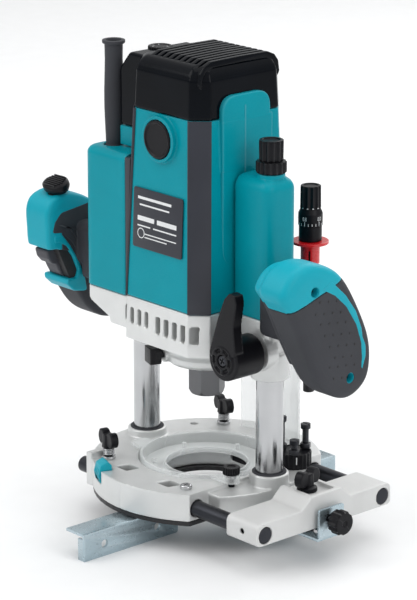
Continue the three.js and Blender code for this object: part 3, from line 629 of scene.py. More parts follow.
def chip_deflector():
    """A clear curved screen with rounded ends and softened edges."""
    low, high = heights("chip_deflector")
    first, last = 59, 116
    rings = []
    for k in range(49):
        share = k / 48
        turn = radians(first + (last - first) * share)
        near_end = min(share, 1 - share) * radians(last - first) * 70
        drop = 9 * (1 - min(near_end / 9, 1)) ** 2
        top = high - drop
        ring = []
        for r, z in ((69.2, low), (70.8, low), (70.8, top), (69.2, top)):
            ring.append((r * cos(turn), r * sin(turn), z))
        rings.append(ring)
    screen = skin(rings)
    stand_for(rounded(screen, 0.35, 2), "chip_deflector")


def template_lock():
    x0, x1, y0, y1, z0, z1 = span("template_lock")
    piece = prism(plate(x0, x1, y0, y1, 1.5), z0, z1)
    for k in range(4):
        x = x0 + 3 + k * 3
        piece = carve(piece, box(x, x + 1.2, y0 - 1, y0 + 5, z1 - 1, z1 + 1))
    stand_for(rounded(piece, 0.3, 2), "template_lock")


def index_clip():
    profile = [(76, 14.6), (85.2, 14.6), (86.2, 21), (84.4, 28), (79, 30.4), (76, 27.5)]
    clip = prism(fillet(profile, 1.6), -5.9, 5.9, "y")
    for shift in (-3, 0, 3):
        clip = carve(clip, box(85, 88, shift - 0.5, shift + 0.5, 16, 26))
    stand_for(turned_about(rounded(clip, 0.8, 3), CLIP_ANGLE), "index_clip")


def wing_head(centre, low, wings, reach, top, thick):
    """A plastic head with two rounded wings along X, and a tapered hub with fluted sides."""
    x, y = centre
    hub = [(0, low, 0), (5.2, low, 0.5), (4.3, top - 3, 1.5), (0, top - 3, 0)]
    head = lathe(fillet(hub), centre, steps=60, flutes=6, depth=0.5, fluted_from=4)
    middle = (wings + top) / 2
    lobe = (top - wings) / 2
    for side in (-1, 1):
        wing = fillet([(x + side, wings + 2, 1),
                       (x + side * (reach - lobe * 0.4), wings, lobe * 0.9),
                       (x + side * reach, middle, lobe),
                       (x + side * (reach - lobe * 0.5), top, lobe * 0.9),
                       (x + side * 3, top - 1.5, 3)], steps=6)
        head = unite(head, prism(wing, y - thick / 2, y + thick / 2, "y"))
    return soften(head, 0.45, 6)


def clamp_bolts():
    for where, (x, y) in CLAMPS.items():
        node = f"clamp_bolt_{where}"
        low, top = heights(node)
        head = wing_head((x, y), 32.6, 33.5, 12, top, 6)
        turned_about(head, radians(-14), (x, y, 0))
        stud = disc(2.9, low, 34, (x, y), steps=40)
        stand_for(gather(head, stud), node)
        spring_on(f"{node}_spring", node, (x, y), 3.9, 0.55, SPRING_SEAT, 32.5, 4)
        washer = fillet([(3.1, 24.2), (5.2, 24.2), (5.2, 26.4), (3.1, 26.4)], 0.4)
        on(lathe(washer, (x, y), steps=48), f"{node}_washer", "base_casting", "bright_steel")


# ---- Depth turret, stop screws and column limits

def turret():
    centre, low, top = upright("turret")
    plate_low = RIM_TOP - 3.4
    profile = [(0, low, 0), (4, low, 0.3), (4, plate_low, 0), (13, plate_low, 0.4), (13, top, 0.8),
               (11.6, top, 0.3), (11.6, top - 0.5, 0), (0, top - 0.5, 0)]
    shape = lathe(fillet(profile), centre, steps=120, flutes=24, depth=0.5, fluted_from=12.5)
    stand_for(shape, "turret")
    for k in range(3):
        mark_round(f"turret_mark_{k}", "turret", centre, radians(205 + 120 * k),
                   (13.0, 13.06), 0.35, 25, 30.5)


def stop_screws():
    for which in ("tall", "middle", "low"):
        node = f"stop_screw_{which}"
        centre, low, top = upright(node)
        seat = span("turret")[5] + 0.3
        shank = [(0, low, 0), (2.3, low), (2.3, top - 3.8), (3.7, top - 3.8), (3.7, top),
                 (0, top, 0)]
        shank = lathe(fillet(shank, 0.4), centre, steps=48)
        shank = carve(shank, box(centre[0] - 5, centre[0] + 5, centre[1] - 0.5, centre[1] + 0.5,
                                 top - 1.4, top + 1))
        nut = [(0, seat, 0), (4.2, seat), (4.2, seat + 3.7), (0, seat + 3.7, 0)]
        nut = lathe(fillet(nut, 0.3), centre, steps=6)
        thread = helix(centre, 2.2, 0.28, seat + 4, top - 4, max(2, int(top - seat - 8)))
        stand_for(gather(shank, rounded(nut, 0.3, 2), thread), node)


def column_limits():
    centre, low, top = upright("limit_nut")
    ring = [(4.1, low), (11, low, 0.8), (11, top, 0.8), (4.1, top)]
    knob("limit_nut", centre, ring, 16, 1.0, 10.5)
    low, top = heights("limit_knob")
    crown = [(0, low + 10, 0), (4.1, low + 10, 0), (4.1, low, 0), (8.8, low, 0.6), (9.0, top, 1.4),
             (6.2, top, 0.4), (6.0, top - 0.9, 0.3), (0, top - 0.9, 0)]
    knob("limit_knob", centre, crown, 12, 1.2, 8.5)


# ---- Straight guide

FINE_SCREW = (-1, ROD_Z)


def guide_rods():
    for where in ("front", "rear"):
        node = f"guide_rod_{where}"
        x0, x1, *_ = span(node)
        y = axis_of(node)[1]
        stand_for(disc(ROD_R, x0, x1, (y, ROD_Z), "x", edge=0.8, steps=72), node)


def guide_holder():
    x0, x1, _, _, low, _ = span("guide_holder")
    end = fillet([(-66.4, low, 4), (66.4, low, 4), (66.4, 21.4, 6), (25, 21.4, 4), (16, 29.5, 2.5),
                  (-14, 29.5, 2.5), (-23, 21.4, 4), (-66.4, 21.4, 6)], steps=6)
    holder = prism(end, x0, x1, "x")
    cuts = [disc(6.3, 90, 140, (y, ROD_Z), "x", steps=48) for y in (-ROD_Y, ROD_Y)]
    cuts += [box(x0 - 1, x1 - 4, -10.5, 12.5, 26.5, 40),
             disc(3.6, 0, 40, axis_of("guide_wing_nut"), steps=32),
             disc(3.4, 112, 140, FINE_SCREW, "x", steps=32),
             disc(2.2, -80, -63.6, (110, 13), "y", steps=24),
             box(x0 + 6, x1 - 6, -46, -28, -5, 8), box(x0 + 6, x1 - 6, 28, 46, -5, 8)]
    stand_for(soften(carve_each(holder, cuts), 0.6, 4), "guide_holder")


def guide_wing_nut():
    (x, y), low, top = upright("guide_wing_nut")
    head = turned_about(wing_head((x, y), 29, 30.5, 12.5, top, 6.5), radians(102), (x, y, 0))
    collar = fillet([(0, 26.8, 0), (7.6, 26.8), (7.2, 29.5), (5, 30.5), (0, 30.5, 0)], 0.5)
    collar = lathe(collar, (x, y))
    stud = disc(3, low + 3, 30, (x, y), steps=40)
    foot = fillet([(0, low, 0), (5.5, low), (5.5, low + 3.1), (0, low + 3.1, 0)], 0.3)
    foot = lathe(foot, (x, y), steps=6)
    stand_for(gather(head, collar, stud, foot), "guide_wing_nut")


def arc(centre, r, first, last, steps=24):
    points = []
    for k in range(steps + 1):
        turn = radians(first + (last - first) * k / steps)
        points.append((centre[0] + r * cos(turn), centre[1] + r * sin(turn)))
    return points


def straight_guide():
    _, tab_far, near, far, foot, _ = span("straight_guide")
    tab_x, face, under, upper = tab_far - 2, 15, -3, -1
    outline = [(-5, near), (face, near), (face, -52), (46, -30), (46, -13), (tab_far, -13),
               (tab_far, 15), (46, 15), (46, 32), (face, 54), (face, far), (-5, far)]
    outline = outline + arc((-5, 0), 30, 90, -90)
    guide = prism(outline, under, upper)
    guide = unite(carve(guide, box(96, 122, -4.6, 2.6, -5, 5)),
                  prism(plate(-11, 13, under, 20, 1.5), tab_x, tab_far, "x"))
    guide = carve(guide, disc(3.4, 120, 135, FINE_SCREW, "x", steps=32))
    for y0, y1, end in ((near, -42, near), (42, far, far - 2)):
        side = fillet([(y0, foot, 2), (y1, foot, 2), (y1, upper, 0), (y0, upper, 0)])
        guide = unite(guide, prism(side, face - 2, face, "x"),
                      box(face - 7, face, end, end + 2, foot, -5))
    for y in (-112, -62, 62, 104):
        guide = carve(guide, disc(3, 8, 20, (y, -12), "x", steps=40))
    stand_for(rounded(guide, 0.35, 2, 50), "straight_guide")


def fine_adjust_knob():
    x0, x1, *_ = span("fine_adjust_knob")
    y = axis_of("fine_adjust_knob")[1]
    profile = [(0, x0, 0), (2.8, x0, 0.4), (2.8, 134, 0), (5, 134, 0.5), (5, 137, 0),
               (8.2, 137, 0.8), (9, 138.6, 1), (9, x1 - 1.6, 1), (7.8, x1, 0.8), (2.6, x1, 0.5),
               (1.8, x1 - 0.8, 0), (0, x1 - 0.9, 0)]
    knob("fine_adjust_knob", (y, ROD_Z), profile, 12, 1.1, 8, steps=144, axis="x")


# ---- Motor housing

SEAM_LOW, SEAM_HIGH = 150, 290
HALF_X, HALF_Y, CORNER, TAPER = 44.5, 48, 11.5, 0.89
TOWER_BORE_R = 10.5
BRUSH_LOW, BRUSH_TOP = heights("brush_cap_front")
BRUSH_Z = (BRUSH_LOW + BRUSH_TOP) / 2
BRUSH_R = (BRUSH_TOP - BRUSH_LOW) / 2


def taper_at(height):
    return 1 + (TAPER - 1) * (height - SEAM_LOW) / (SEAM_HIGH - SEAM_LOW)


def octagon(height, grow, soft=2.5):
    """The motor housing's outline at a height, grown outwards by an amount."""
    scale = taper_at(height)
    x, y = (HALF_X + grow) * scale, (HALF_Y + grow) * scale
    c = (CORNER + grow * 0.6) * scale
    corners = [(x, -y + c), (x, y - c), (x - c, y), (-x + c, y), (-x, y - c), (-x, -y + c),
               (-x + c, -y), (x - c, -y)]
    return fillet(corners, soft, 5)


def ring_at(outline, height):
    return [(a, b, height) for a, b in outline]


def tapered(low, high, grow):
    return skin([ring_at(octagon(height, grow), height) for height in (low, high)])


def motor_housing():
    """The CAD's own teal body with rims round its brush caps, and the raised side panel."""
    wall = cad_copy("motor_housing")
    for low, high in ((-47.5, -38), (38, 47.5)):
        wall = unite(wall, disc(BRUSH_R + 2.9, low, high, (0, BRUSH_Z), "y", edge=1.8))
    wall = carve(wall, disc(BRUSH_R + 0.4, -80, 80, (0, BRUSH_Z), "y"))
    stand_for(soften(wall, 0.65, 5), "motor_housing")
    panel = rounded(prism(plate(-24, 22, 182, 306, 13), 38, 43.4, "x"), 1.4, 4, 50)
    on(panel, "side_panel", "motor_housing")
    crease = rounded(box(43.2, 43.75, -3.2, -2.0, 190, 298), 0.25, 2)
    on(crease, "side_panel_crease", "motor_housing")


def towers():
    """The two column housings, with rounded shoulders and soft upright corners."""
    x0, x1, y0, y1, low, top = span("left_tower")
    left = tower_shell((x0, x1 + 8, y0, y1), low, top, 9, 6)
    left = carve(left, tapered(100, 320, 1.7), box(-37.8, -20, -60, 40, 100, 300),
                 disc(TOWER_BORE_R, 100, top - 5, (-COLUMN_X, 0)),
                 disc(8, top - 14, top + 2, axis_of("cord_guard")))
    stand_for(soften(left, 0.7, 4), "left_tower")
    x0, x1, y0, y1, low, top = span("right_tower")
    shoulder = top - 2.4
    right = unite(tower_shell((x0 - 8, x1, y0, y1), low, shoulder, 9, 9),
                  disc(10, shoulder - 1, top, (COLUMN_X, 0), edge=0.8))
    right = carve(right, box(20, x0, -40, 40, 100, 300),
                  disc(TOWER_BORE_R, 100, top - 8, (COLUMN_X, 0)),
                  disc(4.2, 200, 300, (COLUMN_X, 0)))
    stand_for(soften(right, 0.7, 4), "right_tower")


def tower_shell(sides, low, top, corner, shoulder):
    """A block with rounded upright corners and a quarter-round shoulder."""
    x0, x1, y0, y1 = sides
    rings = [ring_at(plate(x0, x1, y0, y1, corner), low)]
    for k in range(9):
        turn = radians(90 * k / 8)
        inset = shoulder * (1 - cos(turn))
        height = top - shoulder + shoulder * sin(turn)
        radius = max(corner - inset * 0.6, 2)
        outline = plate(x0 + inset, x1 - inset, y0 + inset, y1 - inset, radius)
        rings.append(ring_at(outline, height))
    return skin(rings)


def corner_strips():
    """The dark strips down the front corners, and a filler between the left one and its tower."""
    for side in ("left", "right"):
        node = f"corner_strip_{side}"
        stand_for(rounded(cad_copy(node), 0.35, 3, 30), node)
    rings = []
    for height in (SEAM_LOW + 1, 252):
        x = (CORNER - HALF_X) * taper_at(height) - 1.6
        rings.append(ring_at([(x, -45.6), (-37.5, -45.6), (-37.5, -41), (x, -41)], height))
    on(rounded(skin(rings), 0.4, 2), "seam_filler", "corner_strip_left")


def tilt_on_front(obj, height):
    """Leans a flat shape, made in the XZ plane at y = 0, back onto the tapered front face."""
    lean = atan(HALF_Y * (1 - TAPER) / (SEAM_HIGH - SEAM_LOW))
    depth = -HALF_Y + (height - SEAM_LOW) * tan(lean)
    shift = Matrix.Translation((0, depth, height)) @ Matrix.Rotation(-lean, 4, "X")
    obj.data.transform(shift @ Matrix.Translation((0, 0, -height)))
    return obj


def nameplate():
    """A grey plate that carries only plain bars where a real one has lettering."""
    x0, x1, _, _, z0, z1 = span("nameplate")
    middle = (z0 + z1) / 2
    sheet = rounded(prism(plate(x0, x1, z0, z1, 2.2), -1.3, -0.4, "y"), 0.3, 2)
    stand_for(tilt_on_front(sheet, middle), "nameplate")
    bars = [(-22, 14, 226, 2.0), (-20, 12, 221, 1.2), (-22, -4, 211, 3.4), (-1, 20, 211, 3.4),
            (-22, -8, 205.5, 1.0), (-5, 20, 205.5, 1.0), (-14, 20, 200, 0.8), (-14, 10, 197.5, 0.8)]
    for number, (left, right, height, thick) in enumerate(bars):
        outline = plate(left, right, height - thick / 2, height + thick / 2, 0.3)
        bar = tilt_on_front(prism(outline, -1.38, -1.25, "y"), middle)
        on(bar, f"plate_bar_{number}", "nameplate", "white_print")
    ring = lathe([(3.2, -1.4), (3.8, -1.4), (3.8, -1.25), (3.2, -1.25)], (-18, 200), "y", 48)
    on(tilt_on_front(ring, middle), "plate_ring", "nameplate", "white_print")


def brush_caps():
    for where, sign in (("front", -1), ("rear", 1)):
        node = f"brush_cap_{where}"
        y0, y1 = span(node)[2:4]
        face, back = (y0, y1) if sign < 0 else (y1, y0)
        profile = [(0, back, 0), (BRUSH_R, back, 0.5), (BRUSH_R, face - sign * 0.4, 1.2),
                   (BRUSH_R - 1.4, face, 0.6), (BRUSH_R - 2.4, face - sign * 0.9, 0.3),
                   (0, face - sign * 0.6, 0)]
        stand_for(lathe(fillet(profile), (0, BRUSH_Z), "y", 120), node)


# ---- Top cap

RIB_COUNT, RIB_PITCH, RIB_HALF = 10, 6, 1.75


def top_cap():
    """The gloss cap: a rounded tapered hood, a dial shoulder, and ribs across its top."""
    _, top = heights("top_cap")
    rings = []
    shoulder = 13
    for height, grow in [(SEAM_HIGH, 0.1), (SEAM_HIGH + 1, 0.3), (top - shoulder, 0.0)]:
        rings.append(ring_at(octagon(height, grow, 3), height))
    for k in range(1, 9):
        turn = radians(90 * k / 8)
        height = top - 3.2 - shoulder + 0.2 + shoulder * sin(turn)
        rings.append(ring_at(octagon(height, -shoulder * 0.85 * (1 - cos(turn)), 3), height))
    hood = skin(rings)
    block = fillet([(-61, 270, 3), (-61, 312, 6), (-50, 325, 4), (-28, 325, 0), (-28, 270, 0)])
    block = rounded(prism(block, -30, 25, "y"), 1.6, 4, 60)
    hood = unite(hood, carve(block, tapered(150, SEAM_HIGH, 0.4)))
    hood = carve(hood, box(-70, -37, -40, 40, 250, 269.8),
                 disc(9.4, 318, 340, axis_of("speed_dial")),
                 tapered(SEAM_HIGH - 5, top - 16, -4))
    stand_for(soften(hood, 0.7, 4), "top_cap")
    for number in range(RIB_COUNT):
        rib(number, top)


def rib(number, top):
    """One louvre rib, which runs over the top and bends down over the front and rear edges."""
    x = -21 + number * RIB_PITCH
    drop = 13
    path = [(-38.5, top - drop - 3), (-37.2, top - 8), (-33.5, top - 3.2), (-27, top - 0.4),
            (0, top), (27, top - 0.4), (33.5, top - 3.2), (37.2, top - 8), (38.5, top - drop - 3)]
    lower = [(y * 0.93, z - 4.5) for y, z in reversed(path)]
    outline = fillet(path + lower, 2.5, 4)
    shape = prism(outline, x - RIB_HALF, x + RIB_HALF, "x")
    on(rounded(shape, 0.6, 3, 40), f"cap_rib_{number}", "top_cap")


def speed_dial():
    centre, low, top = upright("speed_dial")
    profile = [(0, low, 0), (9, low, 0.3), (9, top, 0.8), (7, top, 0.3), (6.6, top - 0.5, 0),
               (0, top - 0.5, 0)]
    knob("speed_dial", centre, profile, 30, 0.45, 8.6)
    for k in range(6):
        mark_round(f"dial_mark_{k}", "speed_dial", centre, radians(150 + 48 * k),
                   (5, 8), 0.3, top - 0.52, top - 0.44)


def cord_guard():
    """A rubber boot with a gentle bulge, shallow rings and a flared, open lip."""
    centre, low, top = upright("cord_guard")
    outer = [(7.6, low), (7.6, low + 9), (6.2, low + 13.5), (6.7, low + 26), (7.2, low + 40),
             (7.2, low + 52), (6.5, top - 14), (6.7, top - 3.4), (8.4, top - 2.2),
             (8.4, top - 0.2), (7.8, top)]
    inner = [(5.7, top), (5.3, top - 2), (5.1, top - 20), (4.8, low)]
    stand_for(lathe(fillet(outer + inner, 0.9, 4), centre, steps=96), "cord_guard", sharp=60)
    on(disc(5.0, low, low + 6, centre), "cord_guard_core", "cord_guard", "carbon")


# ---- Bearing housing and its controls

LEVER_X, LEVER_Z = 68.5, 124


def bearing_housing():
    copy = cad_copy("bearing_housing")
    nose = [(17.7, 98.5, 0.6), (27, 98.5, 1.5), (30, 101, 1), (31, 106, 1), (36, 110, 1.5),
            (40, 118, 2), (40, 124, 0), (17.7, 124, 0)]
    copy = unite(copy, lathe(fillet(nose), steps=140))
    collar = fillet([(10.4, 102, 0.5), (14, 102, 1), (14, 122, 0), (10.4, 122, 0)])
    for x in COLUMNS.values():
        copy = unite(copy, lathe(collar, (x, 0)))
    stand_for(soften(copy, 0.75, 4), "bearing_housing")


def shaft_lock():
    pin = disc(2.9, 25, 39, (0, 107.5), "x", steps=40)
    cap = unite(box(38, 46.6, -6, 6, 101.5, 113.5), box(38, 43, -6.8, 6.8, 103, 112))
    stand_for(turned_about(gather(pin, rounded(cap, 1.3, 4)), radians(250)), "shaft_lock_button")


def lock_lever():
    """The plunge lock: a ribbed round hub with a screw, and a broad arm that leans outwards."""
    node = "lock_lever"
    y0, y1 = span(node)[2:4]
    hub = unite(disc(14.9, y0 + 1.5, y1 - 3.4, (LEVER_X, LEVER_Z), "y", edge=1.4),
                disc(7, y1 - 5, y1, (LEVER_X, LEVER_Z), "y", edge=0.5))
    boss = disc(10.5, y0, y0 + 4, (LEVER_X, LEVER_Z), "y", edge=0.6)
    arm = [(LEVER_X - 15, LEVER_Z, 4), (LEVER_X - 5, 154, 12), (70.5, 170, 4), (75.5, 175.4, 2),
           (81.5, 174.6, 2), (83, 169, 3), (80, 151, 10), (LEVER_X + 14, LEVER_Z + 6, 4)]
    arm = fillet(arm, steps=6)
    lever = unite(hub, boss, prism(arm, y0 + 0.5, y0 + 8.5, "y"))
    sector = arc((0, 0), 9.3, -20, 20, 8) + arc((0, 0), 6.6, 20, -20, 8)
    for k in range(6):
        pocket = turned_about(prism(sector, y0 - 1, y0 + 1.6, "y"), radians(60 * k), axis="Y")
        pocket.data.transform(Matrix.Translation((LEVER_X, 0, LEVER_Z)))
        lever = carve(lever, pocket)
    lever = carve(lever, disc(4.6, y0 - 1, y0 + 2.5, (LEVER_X, LEVER_Z), "y", steps=48))
    stand_for(soften(lever, 0.5, 3), node)
    screw = disc(4.0, y0 + 0.6, y0 + 3, (LEVER_X, LEVER_Z), "y", edge=0.8, steps=48)
    slot = (LEVER_X - 2.6, LEVER_X + 2.6, y0 - 1, y0 + 1.9, LEVER_Z - 0.5, LEVER_Z + 0.5)
    screw = cross_cut(screw, slot, (25, 115), (LEVER_X, 0, LEVER_Z), "Y")
    on(screw, "lever_screw", node, "dark_steel")


def spindle_nose():
    low, top = heights("collet_nut")
    blank = lathe([(0, low), (13.6, low), (13.6, top), (0, top)], steps=6)
    round_off = [(0, low - 0.1, 0), (11.9, low - 0.1, 1), (14.2, low + 4, 3), (14.2, top - 2, 2),
                 (12.2, top + 0.1, 0), (0, top + 0.1, 0)]
    nut = carve(blank, lathe(fillet(round_off)), operation="INTERSECT")
    nut = carve(nut, disc(6.9, low - 4, low + 8), disc(9.6, low + 3, top + 2))
    stand_for(rounded(nut, 0.4, 2, 25), "collet_nut")


# ---- Depth stop

POLE = axis_of("depth_pole")


def depth_stop():
    low, top = heights("depth_pole")
    stand_for(disc(4.2, low, top, POLE, edge=0.9, steps=64), "depth_pole")
    low, top = heights("depth_pointer")
    sleeve = [(4.5, low), (7, low), (7, top - 3), (13.5, top - 2, 0.3), (13.5, top, 0.5),
              (4.5, top)]
    sleeve = lathe(fillet(sleeve, 0.5), POLE)
    slit = (POLE[0] + 4, POLE[0] + 9, POLE[1] - 0.7, POLE[1] + 0.7, low - 1, low + 10.5)
    sleeve = cross_cut(sleeve, slit, (-48, 132), (*POLE, 0))
    stand_for(sleeve, "depth_pointer")
    low, top = heights("depth_knob")
    seam = top - 16.4
    collar = [(4.5, low), (8.4, low), (8.4, low + 10.4, 0.3), (8.1, low + 10.6, 0),
              (8.1, low + 11.2, 0), (8.9, low + 11.4, 0.3), (8.9, seam - 4.0, 0.6),
              (7.0, seam, 0.6), (0, seam, 0), (0, seam - 3.5, 0), (4.5, seam - 3.5, 0)]
    collar = lathe(fillet(collar, 0.4), POLE)
    crown = [(0, seam - 0.5, 0), (7.8, seam - 0.5, 0.3), (7.6, top, 1.1), (5.4, top, 0.4),
             (5.2, top - 0.7, 0.3), (0, top - 0.7, 0)]
    crown = lathe(fillet(crown), POLE, steps=144, flutes=12, depth=1.0, fluted_from=7)
    stand_for(gather(collar, crown), "depth_knob")
    scale_marks(low, seam)


def scale_marks(low, seam):
    """White ticks round the collar and at the crown's foot, and plain dial numbers."""
    for k in range(20):
        height = 3.4 if k % 4 == 0 else 1.8
        mark_round(f"scale_tick_{k}", "depth_knob", POLE, radians(18 * k),
                   (8.88, 8.96), 0.2, low + 11.8, low + 11.8 + height)
    for k in range(12):
        mark_round(f"crown_tick_{k}", "depth_knob", POLE, radians(30 * k),
                   (7.75, 7.86), 0.5, seam + 0.1, seam + 0.7)
    for k in range(5):
        dial_number(f"0.{k * 2}", 8.93, low + 15.6, radians(72 * k), f"scale_number_{k}")


def dial_number(text, reach, height, turn, name):
    """A dial number that stands on the collar and faces outwards."""
    curve = bpy.data.curves.new(name, "FONT")
    curve.body = text
    curve.size = 4.2
    curve.extrude = 0.03
    curve.align_x = "CENTER"
    obj = mesh_of(curve)
    upright = Matrix.Rotation(radians(90), 4, "X")
    outward = Matrix.Rotation(turn + radians(90), 4, "Z")
    obj.data.transform(Matrix.Scale(0.62, 4, (1, 0, 0)))
    obj.data.transform(outward @ Matrix.Translation((0, -reach - 0.03, height)) @ upright)
    obj.data.transform(Matrix.Translation((*POLE, 0)))
    on(obj, name, "depth_knob", "white_print")


# ---- Handles

FACE_IN, FACE_OUT, CHEEK_IN = 118, 147, 110
PADDLE = [(-62, 190), (-50, 205.5), (-30, 208), (-6, 196), (12, 170), (24, 141), (21.5, 115),
          (2, 104), (-21, 116), (-38, 144), (-53, 174)]
LEFT_PADDLE = [(-50, 165), (-52, 180), (-52, 196), (-45, 205), (-28, 207), (-6, 196), (12, 170),
               (24, 141), (24.5, 118), (15, 104), (2, 104), (-12, 113), (-23, 128), (-31, 144),
               (-40, 159)]
LEFT_BLOCK_FOOT = 163
HANDLE_SCREWS = [(-33, 189), (2, 120)]


def smooth_loop(points, count=72):
    """A closed smooth curve through the points."""
    loop = []
    total = len(points)
    for k in range(count):
        place = k / count * total
        i, t = int(place), place % 1
        a, b, c, d = (Vector(points[(i + shift) % total]) for shift in (-1, 0, 1, 2))
        loop.append(0.5 * ((2 * b) + (c - a) * t + (2 * a - 5 * b + 4 * c - d) * t ** 2
                           + (3 * b - a - 3 * c + d) * t ** 3))
    return loop


def inset(loop, amount):
    """The loop moved inwards along its own normals."""
    total = len(loop)
    moved = []
    for i, point in enumerate(loop):
        along = (loop[(i + 1) % total] - loop[i - 1]).normalized()
        moved.append(point + Vector((along.y, -along.x)) * amount)
    return moved


def pillow(loop, x0, x1, edge=7, dome=4):
    """A loop given thickness along X, with rounded rims and slightly domed faces."""
    crown = 0.5
    layers = [(x0, edge + dome), (x0 + crown * 0.3, edge + dome * 0.4)]
    for k in range(8):
        turn = radians(90 * k / 7)
        layers.append((x0 + crown + (edge - crown) * (1 - cos(turn)), edge * (1 - sin(turn))))
    layers += [(x0 + x1 - x, depth) for x, depth in reversed(layers)]
    rings = []
    for x, depth in layers:
        rings.append([(p.x, p.y, x) for p in inset(loop, depth)])
    return skin(rings, "x")


def parting(is_shell, block_foot=None):
    """The space above or below the joint between a handle's shell and its grip.

    The joint slants, and at block_foot it steps down so that the shell has a block in front.
    """
    gap = 0.2 if is_shell else -0.2
    edge = [(-90, 165.5 + gap), (60, 213.5 + gap)]
    if block_foot:
        edge = [(-90, block_foot + gap), (-39 + gap, block_foot + gap),
                (-39 + gap, 181.8 + gap), (60, 213.5 + gap)]
    far = 300 if is_shell else 50
    return prism(edge + [(60, far), (-90, far)], 70, 160, "x")


def mirror(obj):
    obj.data.transform(Matrix.Scale(-1, 4, (1, 0, 0)))
    obj.data.flip_normals()
    return obj


def handle_blank(paddle, tower_face, edge, dome, *extra):
    """A whole handle with the neck that joins it to its tower."""
    neck = rounded(box(tower_face + 0.3, FACE_IN + 10, -25, 8, 141, 184), 5, 4)
    body = pillow(smooth_loop(paddle, 96), FACE_IN, FACE_OUT, edge, dome)
    return soften(gather(body, neck, *extra), 0.7, 0)


def inner_cheek():
    """The right handle's upper part, which comes further in towards its tower."""
    cheek = pillow(inset(smooth_loop(PADDLE), 4), CHEEK_IN, FACE_OUT - 8, 5)
    return carve(cheek, box(100, 150, -80, 60, 128, 220), operation="INTERSECT")


def right_handle():
    face = span("right_tower")[1]
    for is_shell, node in ((True, "handle_right_shell"), (False, "handle_right_grip")):
        blank = handle_blank(PADDLE, face, 7, 4, inner_cheek())
        half = soften(carve(blank, parting(is_shell), operation="INTERSECT"), 0.7, 5)
        for place in HANDLE_SCREWS:
            half = carve(half, disc(3.9, 139, 150, place, "x", steps=40))
        stand_for(half, node)
    handle_screws()
    grip_stripe()
    grip_dimple_shade()


def handle_screws():
    for index, (y, z) in enumerate(HANDLE_SCREWS):
        cup = fillet([(3.3, 138.5), (4.5, 138.5), (4.5, 146.4), (3.5, 146.4), (3.3, 140)], 0.2)
        on(lathe(cup, (y, z), "x", 48), f"handle_screw_ring_{index}", "handle_right_shell")
        head = disc(3.2, 138, 141.5, (y, z), "x", edge=0.6, steps=40)
        slot = (140.6, 143, y - 2.2, y + 2.2, z - 0.45, z + 0.45)
        head = cross_cut(head, slot, (15, 105), (0, y, z), "X")
        on(head, f"handle_screw_{index}", "handle_right_grip", "black_plastic")


def grip_stripe():
    """The teal band that runs down the rear of the outer face, with a step halfway."""
    outer = [(-17, 194), (-13, 190), (-3, 181), (7, 168), (13, 154), (13.5, 148), (17, 141),
             (17, 133), (13.5, 124)]
    inner = [(12.5, 126), (13, 133), (12, 144), (7, 158), (-3, 173), (-14, 183), (-23, 188),
             (-26, 190)]
    band = prism(fillet(outer + inner, 3, 4), 130, 160, "x")
    shell = pillow(smooth_loop(PADDLE), FACE_IN, FACE_OUT - 0.02)
    band = carve(band, shell, operation="INTERSECT")
    band = carve(band, box(100, 143.5, -100, 100, 50, 300))
    band.data.transform(Matrix.Translation((0.25, 0, 0)))
    on(soften(band, 0.4, 3), "handle_right_stripe", "handle_right_shell")


def grip_dimple_shade():
    """Rows of small dimples on the right grip's outer face: dark discs, painted shade for shallow
    cups.
    """
    rows = [(-28, 181, 3), (-32, 173, 4), (-27, 165, 4), (-23, 156, 4), (-18, 147, 4),
            (-13, 138, 3), (-18, 132, 4), (-14, 123, 2)]
    cups = []
    for first, height, count in rows:
        for k in range(count):
            place = (first + k * 8, height - k)
            cups.append(disc(0.8, FACE_OUT - 1.2, FACE_OUT + 0.3, place, "x", steps=12))
    # The dark carbon discs are painted shade standing in for the dimples' cups.
    on(gather(*cups), "grip_dimple_shade", "handle_right_grip", "carbon")


def left_handle():
    face = -span("left_tower")[0]
    bay = fillet([(-66, 166, 0), (-44, 166, 4), (-30, 162, 6), (-19, 146, 4), (-21, 137, 3),
                  (-30, 134, 2), (-66, 134, 0)])
    for is_shell, node in ((True, "handle_left_shell"), (False, "handle_left_grip")):
        blank = handle_blank(LEFT_PADDLE, face, 4, 2)
        half = carve(blank, parting(is_shell, LEFT_BLOCK_FOOT), operation="INTERSECT")
        half = carve(half, prism(bay, FACE_IN - 5, FACE_OUT + 5, "x"),
                     disc(4.4, 196, 230, (128, -38)))
        stand_for(soften(mirror(half), 0.7, 5), node)
    arch()
    inner_panel()


def arch():
    """The teal band round the trigger's opening, from the block down to the lower cuff."""
    outer = [(-47, 178), (-39, 177), (-31, 167), (-22, 152), (-17, 139), (-15, 128),
             (-28, 130.5), (-34.5, 136.5)]
    inner = [(-35, 141), (-26, 140.5), (-24, 146), (-29, 158), (-36, 167), (-42, 170.5),
             (-47, 170.5)]
    band = prism(fillet(outer + inner, 2.5, 4), -(FACE_OUT - 0.6), -(FACE_IN - 0.4), "x")
    on(soften(rounded(band, 1.4, 3, 50), 0.5, 3), "handle_left_arch", "handle_left_shell")
    lining = prism(fillet([(-44, 170), (-33, 166), (-22, 148), (-23, 140), (-30, 139)], 2),
                   -(FACE_OUT - 3.5), -(FACE_IN + 2), "x")
    on(lining, "trigger_bay_lining", "handle_left_grip", "carbon")


